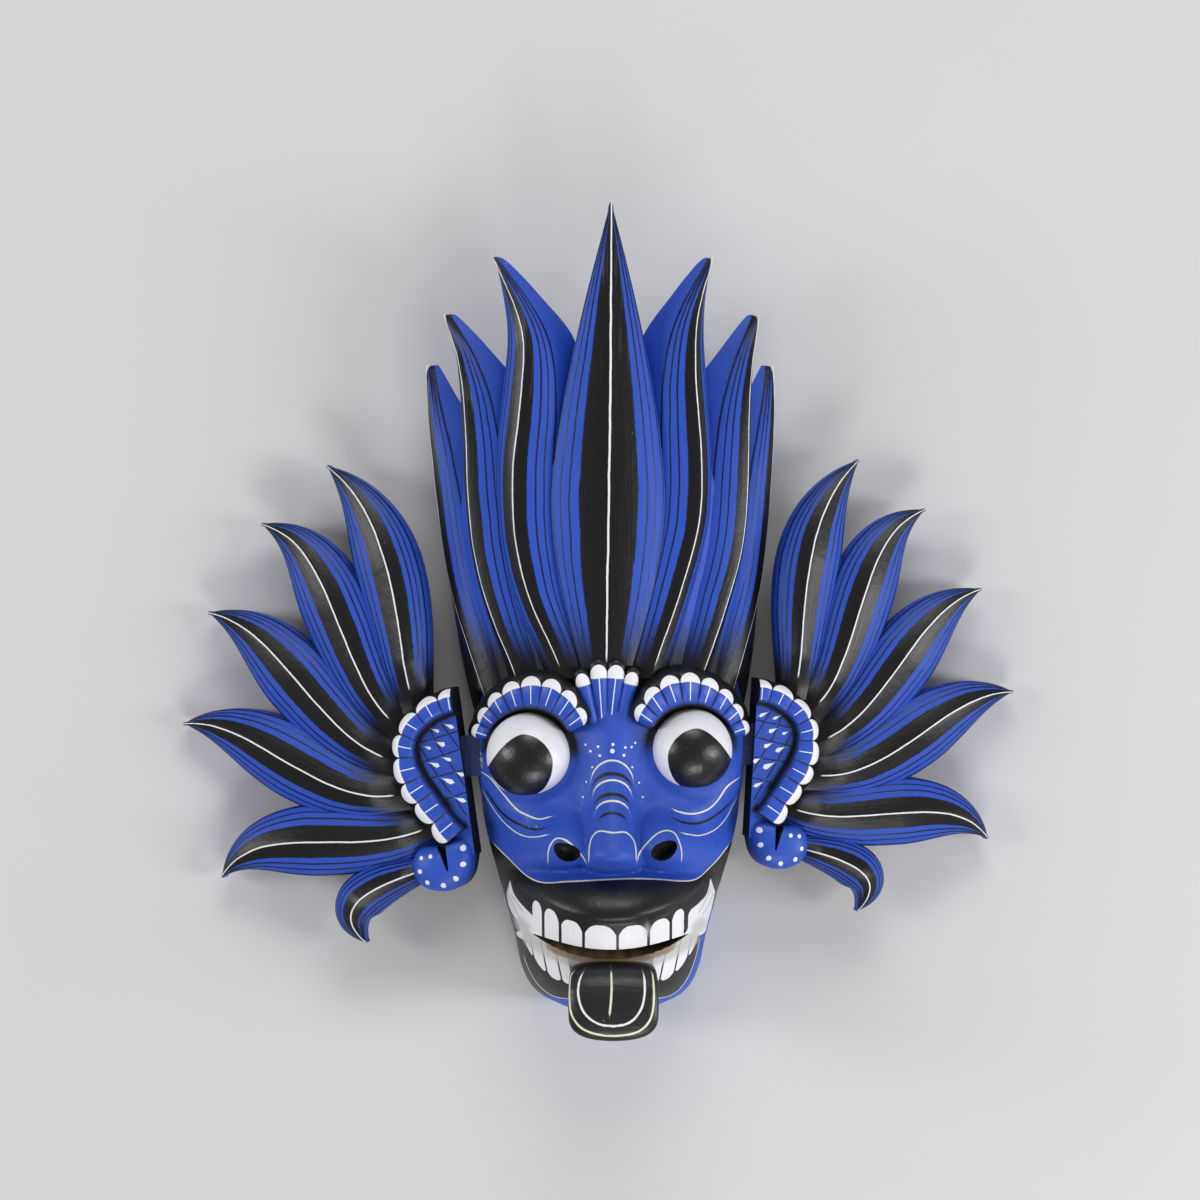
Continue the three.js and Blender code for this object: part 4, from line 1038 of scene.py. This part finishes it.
def hollowSkin():
    y = np.linspace(hollow["bottom"], hollow["top"], 90)
    crownWall = crown["wall"] - 3
    inFace = ease(y, crown["rootY"] - 6, crown["rootY"] + 6)
    grow = np.minimum(1, (y - hollow["bottom"]) / 18 + 0.3)
    sideFace, sideCrown = curveThrough(face["halfWidth"], y) - hollow["sideWall"], crownHalf(y) - crownWall
    frontFace = curveThrough(face["depth"], y) - hollow["frontWall"]
    frontCrown = crown["axisZ"] + crownDepth(y) - crownWall
    half = ((sideFace + (sideCrown - sideFace) * inFace) * grow)[:, None]
    deep = (np.minimum(frontFace + (frontCrown - frontFace) * inFace, hollow["deepest"]) * grow)[:, None]
    turn = np.linspace(-math.pi / 2, math.pi / 2, 41)[None]
    power = 2 / hollow["squareness"]
    x = half * signedPower(np.sin(turn), power)
    z = deep * np.maximum(np.cos(turn), 0) ** power
    arch = stack(x, y[:, None] + 0 * x, z)
    feet = [stack(side * half, y[:, None], -5.0 + 0 * half) for side in (1, -1)]
    return loft(np.concatenate([arch, *feet], 1), ["bareWood"] * 43, "bareWood")


def ball(centre, radii, tilt, finish):
    lean = np.linspace(0.05, math.pi - 0.05, 28)[:, None]
    turn = np.linspace(0, 2 * math.pi, 48, endpoint=False)[None]
    u, v = radii[0] * np.sin(lean) * np.cos(turn), radii[1] * np.sin(lean) * np.sin(turn)
    v = v * (1 - 0.25 * u / radii[0] * math.copysign(1, tilt))  # fuller at the outer end
    c, s = math.cos(math.radians(tilt)), math.sin(math.radians(tilt))
    z = centre[2] + radii[2] * np.cos(lean)
    return loft(stack(centre[0] + u * c - v * s, centre[1] + u * s + v * c, z), [finish] * 48, finish)


# The ear wings, drawn round the ear's centre with +X away from the face and the carved ground at Z 0
wing = {"thickness": 11, "rise": 5, "edge": -1.6, "tipTop": -4.5, "bellyAt": 0.5, "taper": 1.8,
        "rootShare": 0.55, "stations": 72, "facetPoints": 12, "mistFrom": 20, "mistTo": 47,
        "band": 0.46, "line": 0.27, "fallFrom": 0.5,
        "rootTop": 0.8, "under": 0.055}  # the roots dip and run on under the ear band
wingFlames = [  # root and its heading, tip and its heading, half width on its left and right, reach of the bend
    ((10.8, 22), 87, (35.2, 111.2), 41, 10.8, 13.4, 0.36),
    ((18, 13), 52, (62.6, 92.4), 20, 12, 13.4, 0.36),
    ((21, 0), 28, (86.5, 61.5), 16, 12, 14.2, 0.36),
    ((18, -13), -5, (100.5, 20.9), 0, 13.6, 13.2, 0.36),
    ((9, -26), -20, (91.6, -37.6), -48, 13.6, 13, 0.36),
    ((14, -42), -12, (38.8, -67), -125, 9.4, 7.6, 0.52),
]
wingCore = {"radius": 50, "from": -62, "to": 76, "front": -1}
earBand = {  # the band's outer and inner edge where its lobes meet, from the top down
    "outer": [(-8.5, 24.3), (0.6, 23.4), (10.0, 18.7), (17.6, 10.4), (19.9, 0.6), (19.0, -10.3), (14.9, -18.5),
              (9.3, -26.5), (4.9, -34.2)],
    "inner": [(-8.0, 14.8), (-1.6, 14.0), (5.0, 10.7), (9.3, 5.9), (10.1, 0.3), (8.0, -6.6), (4.6, -12.6),
              (-0.2, -20.4), (-5.3, -27.3)],
    "bulge": 0.6, "crest": 6.4, "edge": 2.0, "perLobe": 12, "points": 22, "groove": 0.4,
}
earPanel = {
    "front": 1.6,
    "trim": [(-4.4, 40), (-60, 40), (-60, -39), (-7.2, -39)],  # the side towards the face is cut straight
    "lattice": [[(8, 5.4), (-8, 8.6)], [(9.8, -2.2), (-8, 1.9)], [(7, -8.2), (-9, -6.0)],
                [(2, -16.5), (-9, -13.9)], [(0.9, 12.5), (-4.9, 2.6), (-8, -2.7)],
                [(5.4, 11.6), (1.4, 1.2), (-2.9, -6.2), (-6.4, -13)],
                [(9.0, 3.3), (3.6, -7.6), (-1.8, -16.5), (-5.5, -23)]],
    "drops": [(-2.3, 10.4, 4.2, 0.75), (3.0, 9.3, 3.6, 0.6), (1.5, 4.2, 3.8, 0.85), (6.5, 3.2, 2.8, 0.6),
              (-0.2, -1.6, 4.0, 0.75), (4.8, -3.1, 4.6, 0.85), (-4.7, -7.6, 3.4, 0.85), (0.4, -9.5, 5.6, 1.0),
              (-3.7, -17.0, 4.2, 0.8)],  # white drops: middle, length and half width
    "dropWay": (-0.9, -0.42), "dropEnds": (0.85, 0.12),
}
earCurl = {
    "centre": (5.3, -40.0), "rise": 6.5,
    "reach": [[0, 11.6], [30, 10.6], [50, 8.8], [75, 7.0], [105, 8.6], [130, 11.6], [150, 12.8], [185, 11.1],
              [227, 10.7], [277, 10.2], [328, 11.5], [360, 11.6]],  # how far the lobe reaches, by angle
    "around": 96,
    "notchLeft": [[-42.4, 2.3], [-39, 2.3], [-36, 2.4], [-33, 2.0]],
    "notchRight": [[-42.4, 2.9], [-39.5, 3.8], [-36.5, 4.8], [-34.5, 6.4], [-33, 8.5]],
    "notchFloor": 0.6,
    "dots": [(-3.6, -34.7, 1.1), (-3.1, -40.5, 1.0), (0.1, -45.6, 1.0), (5.1, -47.7, 0.95), (10.9, -46.0, 0.9),
             (13.3, -41.8, 0.85), (12.2, -36.9, 0.75), (8.6, -36.6, 0.75)],
}
tenon = {"from": (-19.2, -9, -9.4), "to": (0.8, 6, -1.6), "clearance": 0.35}
wingPlaces = {
    "left": {"x": -60.6, "y": -2.4, "z": 29.4, "lean": 6, "sweep": 9.3, "size": 1, "side": -1, "wear": 0.35},
    "right": {"x": 58.2, "y": 2.6, "z": 28.4, "lean": 1.4, "sweep": 9.3, "size": 0.943, "side": 1, "wear": 0.1},
}


def wingPlacer(place, size=None):  # from the wing's own drawing to the mask's
    side, size = place["side"], place["size"] if size is None else size
    lean, sweep = math.radians(-side * place["lean"]), math.radians(side * place["sweep"])

    def put(points):
        x, y, z = (points * [side * size, size, size]).T
        x, y = x * math.cos(lean) - y * math.sin(lean), x * math.sin(lean) + y * math.cos(lean)
        x, z = x * math.cos(sweep) + z * math.sin(sweep), -x * math.sin(sweep) + z * math.cos(sweep)
        return np.stack([x + place["x"], y + place["y"], z + place["z"]], 1)

    return put


def wingFlame(flame, wearLevel):
    root, rootHeading, tip, tipHeading, left, right, reachShare = flame
    root, tip = np.array(root, float), np.array(tip, float)
    reach = np.hypot(*(tip - root)) * reachShare
    headings = np.radians([rootHeading, tipHeading])
    out = np.stack([np.cos(headings), np.sin(headings)], 1) * reach
    p = [root, root + out[0], tip - out[1], tip]
    under, along = np.linspace(-wing["under"], 0, 5)[:-1], np.linspace(0, 1, wing["stations"])
    whole = np.concatenate([under, along])[:, None]
    t = np.maximum(whole, 0)
    line = (1 - t) ** 3 * p[0] + 3 * t * (1 - t) ** 2 * p[1] + 3 * t * t * (1 - t) * p[2] + t ** 3 * p[3]
    line = line + 3 * (p[1] - p[0]) * np.minimum(whole, 0)
    way = 3 * (1 - t) ** 2 * (p[1] - p[0]) + 6 * t * (1 - t) * (p[2] - p[1]) + 3 * t * t * (p[3] - p[2])
    way = way / np.hypot(*way.T)[:, None]
    width = leaf(t, wing["bellyAt"], wing["taper"], wing["rootShare"])
    fall = beyond(t, wing["fallFrom"]) ** 1.6
    top = wing["rise"] + (wing["tipTop"] - wing["rise"]) * fall
    top = wing["rootTop"] + (top - wing["rootTop"]) * ease(whole, -0.03, 0.14)
    edge = np.minimum(wing["edge"] - 4 * fall, top - 0.8)
    share = facetShares(wing["facetPoints"])[None]
    offset = share * np.where(share < 0, right * width, left * width)
    down = np.array([[0.4, 1.0]])
    offsets = np.concatenate([offset, offset[:, -1:] + 0 * down, offset[:, :1] + 0 * down], 1)
    facetZ = edge + (top - edge) * ridgeShape(share)
    wallZ = edge + (-wing["thickness"] - edge) * down
    z = np.concatenate([facetZ, wallZ, wallZ[:, ::-1]], 1)
    x = line[:, :1] - way[:, 1:] * offsets
    y = line[:, 1:] + way[:, :1] * offsets
    rings = stack(x, y, z)
    shares = np.concatenate([share, [[0, 0, 0, 0]]], 1)
    columns = ["flamePaint"] * (share.shape[1] - 1) + ["wallPaint"] * 5
    columns[share.shape[1] + 1] = "bareWood"
    mistAndShade = 1 - ease(np.hypot(x, y), wing["mistFrom"], wing["mistTo"])
    run = np.concatenate([[0], np.cumsum(np.hypot(*np.diff(line, axis=0).T))])[:, None]
    wear = wearLevel * ease(t, 0.6, 1.0) ** 1.5
    return loft(rings, columns, "wallPaint", stroke=stack(shares, offsets, t),
                zone=stack(run, wing["band"], wing["line"] * (1 - 0.4 * ease(t, 0.75, 1))),
                haze=stack(mistAndShade, wear, 0.3 * wear + 0 * mistAndShade))


def slab(outline, front, finish, wall):
    outline = np.array(outline, float)
    count = len(outline)
    rings = stack(outline[:, 0], outline[:, 1], np.array([[-wing["thickness"]], [front]]))
    piece = loft(rings, [wall] * count, finish, haze=(1, 0, 0))
    piece["finish"][count:2 * count] = ["bareWood"] * count  # the back
    return piece


def wingCoreSkin():
    turn = np.radians(np.linspace(wingCore["from"], wingCore["to"], 40))
    rim = [(wingCore["radius"] * math.cos(a), wingCore["radius"] * math.sin(a)) for a in turn]
    return slab([(0, 0), *rim], wingCore["front"], "wallPaint", "wallPaint")


def bandEdges(lobes):  # the band's two edges at places counted in lobes
    return [np.stack([curveThrough(list(enumerate(p[k] for p in earBand[edge])), lobes) for k in (0, 1)], -1)
            for edge in ("outer", "inner")]


def earBandSkin():
    b = earBand
    count = len(b["outer"]) - 1
    t = np.linspace(0, count, count * b["perLobe"] + 1)
    outer, inner = bandEdges(t)
    step = np.hypot(*np.gradient((outer + inner) / 2, t, axis=0).T)[:, None]
    t = t[:, None]
    lobe = np.abs(np.sin(math.pi * t)) ** 0.75
    out = outer - inner
    outer = outer + out / np.hypot(*out.T)[:, None] * b["bulge"] * (lobe - 0.5)
    share = np.linspace(0, 1, b["points"])[None]
    x, y = (inner[:, [k]] + (outer - inner)[:, [k]] * share for k in (0, 1))
    body = curveThrough([[0, 0], [0.06, 0.5], [0.2, 0.9], [0.45, 1], [0.75, 0.92], [0.92, 0.5], [1, 0]], share)
    groove = b["groove"] * (1 - lobe) ** 2 * ease(share, 0.1, 0.3)
    z = b["edge"] + (b["crest"] - b["edge"]) * body * (1 + 0.06 * lobe) - groove
    shares = np.concatenate([share, [[1.0, 0.0]]], 1)
    columns = ["lobePaint"] * (b["points"] - 1) + ["blackPaint", "bareWood", "blackPaint"]
    rings = withFeet(stack(x, y, z), -wing["thickness"])
    return loft(rings, columns, "blackPaint", stroke=stack(t, shares, step), haze=(0, 0, 0))


def earPanelSkin():
    p = earPanel
    outer, inner = bandEdges(np.linspace(0, len(earBand["outer"]) - 1, 65))
    outline = np.concatenate([(outer + inner) / 2, [(0, -34), (0, -37)], np.linspace((-9, -38), (-9, 18), 32)])
    around = len(outline)
    grow = np.array([1, *np.linspace(1, 0.02, 28)])[:, None, None]
    middle = outline.mean(0)
    flat = middle + (outline - middle) * grow
    depth = np.array([-wing["thickness"]] + [p["front"]] * 28)[:, None]
    piece = loft(stack(flat[..., 0], flat[..., 1], depth), ["panelPaint"] * around, "panelPaint")
    piece["finish"][:around] = ["wallPaint"] * around
    piece["finish"][-2 * around:-around] = ["bareWood"] * around  # the back
    way = np.array(p["dropWay"])
    strokeMarks(piece, [(*strokes["lattice"], line) for line in p["lattice"]], mark="zone")
    lines = []
    for x, y, long, half in p["drops"]:
        ends = [np.array([x, y]) + way * long * k for k in (-0.5, 0, 0.5)]
        lines.append(("white", half, p["dropEnds"], ends))
    strokeMarks(piece, lines)
    # painted shade: dark along the band's inner edge where the panel sinks under it, and dark over the panel's
    # walls
    shade = 1 - ease(np.abs(offsetsFrom(inner, piece["points"][:, :2])[0]), 0.2, 1.7)
    piece["marks"]["haze"] = stack(np.where(piece["points"][:, 2] < 0, 0.85, shade), 0, 0)
    return piece


def earCurlSkin():
    c = earCurl
    around = c["around"]
    turn = np.linspace(0, 360, around, endpoint=False)[None]
    reach = curveThrough(c["reach"], turn)
    grow = np.linspace(0.02, 1, 34)[:, None] ** 0.8
    x = c["centre"][0] + reach * grow * np.cos(np.radians(turn))
    y = c["centre"][1] + reach * grow * np.sin(np.radians(turn))
    dome = stack(x, y, c["rise"] * np.sqrt(np.maximum(1 - grow ** 2.6, 0)))
    post = dome[-1:] * [1, 1, 0] - [0, 0, wing["thickness"]]
    piece = loft(np.concatenate([dome, post]), ["panelPaint"] * around, "panelPaint")
    piece["finish"][-around:] = ["bareWood"] * around  # the back
    piece["finish"][-3 * around:-2 * around] = ["wallPaint"] * around
    strokeMarks(piece, [], c["dots"])
    # painted shade: the lobe's walls below the carved ground go dark
    shade = ease(-piece["points"][:, 2], -0.5, 3)
    piece["marks"].update(haze=stack(shade, 0, 0), zone=stack(9.0 + 0 * shade, 0, 1))  # no lattice here
    return piece


def earNotch():
    c = earCurl
    y = np.linspace(c["notchLeft"][0][0], c["notchLeft"][-1][0], 24)[:, None]
    left, right = curveThrough(c["notchLeft"], y), curveThrough(c["notchRight"], y)
    middle, half = (left + right) / 2, (right - left) / 2
    floor, brim, above = c["notchFloor"], c["rise"], 20.0
    corners = ((-0.25, floor), (0.25, floor), (1, brim), (1.1, above), (-1.1, above), (-1, brim))
    rings = np.concatenate([stack(middle + side * half, y, z) for side, z in corners], 1)
    return loft(rings, ["blackPaint"] * len(corners), "blackPaint")


def earTrim():
    rings = np.array([[[x, y, z] for x, y in earPanel["trim"]] for z in (-30.0, 30.0)])
    # the cut wall towards the face is painted dark, a painted shade
    return loft(rings, ["wallPaint"] * 4, "wallPaint", haze=(0.85, 0, 0))


def tenonBox(finish, grow=0.0, **marks):
    return box([v - grow for v in tenon["from"]], [v + grow for v in tenon["to"]], finish, **marks)


def buildWing(sideName):
    place = wingPlaces[sideName]
    put = wingPlacer(place)
    flames = [wingFlame(flame, place["wear"]) for flame in wingFlames]
    steps = [add(f"flame{k}", flame, put) for k, flame in enumerate(flames[1:], 1)]
    steps += [add(part.__name__, part(), put) for part in (wingCoreSkin, earBandSkin, earPanelSkin)]
    steps += [cut("trim", earTrim(), put), add("curl", earCurlSkin(), put), cut("notch", earNotch(), put)]
    # the tenon is painted dark blue: painted shade for the gap beside the head, with a little wear
    steps.append(add("tenon", tenonBox("wallPaint", haze=(0.72, 0, 0.2)), wingPlacer(place, 1)))
    made = carve(f"earWing_{sideName}", asObject("flame0", flames[0], put), steps)
    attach(made, "root")
    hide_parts(f"ear_wing_{sideName}")
    print(f"{sideName} ear wing carved:", len(made.data.polygons), "faces")


def buildHead():
    steps = [add("core", crownCoreSkin()), add("flameMid", crownFlame(midFlame, 1))]
    for k, flame in enumerate(sideFlames):
        steps += [add(f"flame{k}{side}", crownFlame(flame, side)) for side in (-1, 1)]
    steps += [add(f"eye{side}", eyeBall(side)) for side in ("left", "right")]
    steps += [add(f"brow{side}", browBand(side)) for side in (-1, 1)]
    steps += [add(f"petal{k}", fanPetal(k)) for k in range(len(fan["topX"]))]
    steps += [cut("mouth", mouthSlot()), cut("hollow", hollowSkin()), add("tongue", tongueSkin())]
    for side, tilt in (("holeLeft", -nostril["holeTilt"]), ("holeRight", nostril["holeTilt"])):
        steps.append(cut(side, ball((*nostril[side], nostril["holeZ"]), nostril["hole"], tilt, "blackPaint")))
    for side, place in wingPlaces.items():
        steps.append(cut("slot" + side, tenonBox("bareWood", tenon["clearance"]), wingPlacer(place, 1)))
    steps.append(cut("behind", box((-200, -200, -60), (200, 300, 0), "bareWood")))
    made = carve("maskHead", asObject("faceBlock", faceSkin()), steps)
    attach(made, "root")
    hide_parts("mask_head")
    print("mask head carved:", len(made.data.polygons), "faces")


buildHead()
for wingSide in wingPlaces:
    buildWing(wingSide)


# The studio: a pale floor, soft light all round and the camera straight above
studio = {
    "cameraAt": (0.00069, 0.00639, 1.145), "lens": 90.75, "sensor": 36.0,
    "floorTone": (0.60, 0.60, 0.61), "floorHalf": 6, "worldLight": 0.28,
    "lights": [  # place, aim, size, power in watts
        ((-1.15, 0.1, 0.62), (0, 0, 0.03), (0.3, 0.7), 7.0),
        ((1.15, -0.2, 0.66), (0, 0, 0.03), (0.3, 0.7), 9.0),
        ((0.1, 1.15, 0.85), (0, 0.05, 0.02), (0.9, 0.4), 8.0),
        ((0.25, -1.15, 0.85), (0, 0.0, 0.02), (0.8, 0.4), 8.0),
    ],
}


def buildStudio():
    scene = bpy.context.scene
    camera = linked("camera", bpy.data.cameras.new("camera"))
    camera.location = studio["cameraAt"]
    camera.data.lens, camera.data.sensor_width, camera.data.clip_end = studio["lens"], studio["sensor"], 50
    scene.camera = camera
    for k, (place, aim, size, power) in enumerate(studio["lights"]):
        lamp = bpy.data.lights.new(f"softBox{k}", "AREA")
        lamp.shape, lamp.size, lamp.size_y, lamp.energy = "RECTANGLE", *size, power
        holder = linked(lamp.name, lamp)
        holder.location = place
        holder.rotation_euler = (Vector(aim) - Vector(place)).to_track_quat("-Z", "Y").to_euler()
    world = bpy.data.worlds.new("studio")
    scene.world = world
    world.use_nodes = True
    background = world.node_tree.nodes["Background"].inputs
    background["Strength"].default_value, background["Color"].default_value = studio["worldLight"], (1, 1, 1, 1)
    floorFinish = Finish("floorFinish", Specular_IOR_Level=0.2)
    speck = floorFinish.noise(0.02, 4.0)
    darker = tuple(v * 0.96 for v in studio["floorTone"])
    tone = floorFinish.mix(speck * 0.5, studio["floorTone"], darker)
    mesh = bpy.data.meshes.new("floor")
    half = studio["floorHalf"]
    mesh.from_pydata([(-half, -half, 0), (half, -half, 0), (half, half, 0), (-half, half, 0)], [], [(0, 1, 2, 3)])
    mesh.materials.append(floorFinish.done(tone, 0.7 + speck * 0.1, speck, 0.02))
    floor = linked("floor", mesh)
    scene.view_settings.view_transform = "Standard"
    print("studio set")


buildStudio()
bpy.context.view_layer.update()
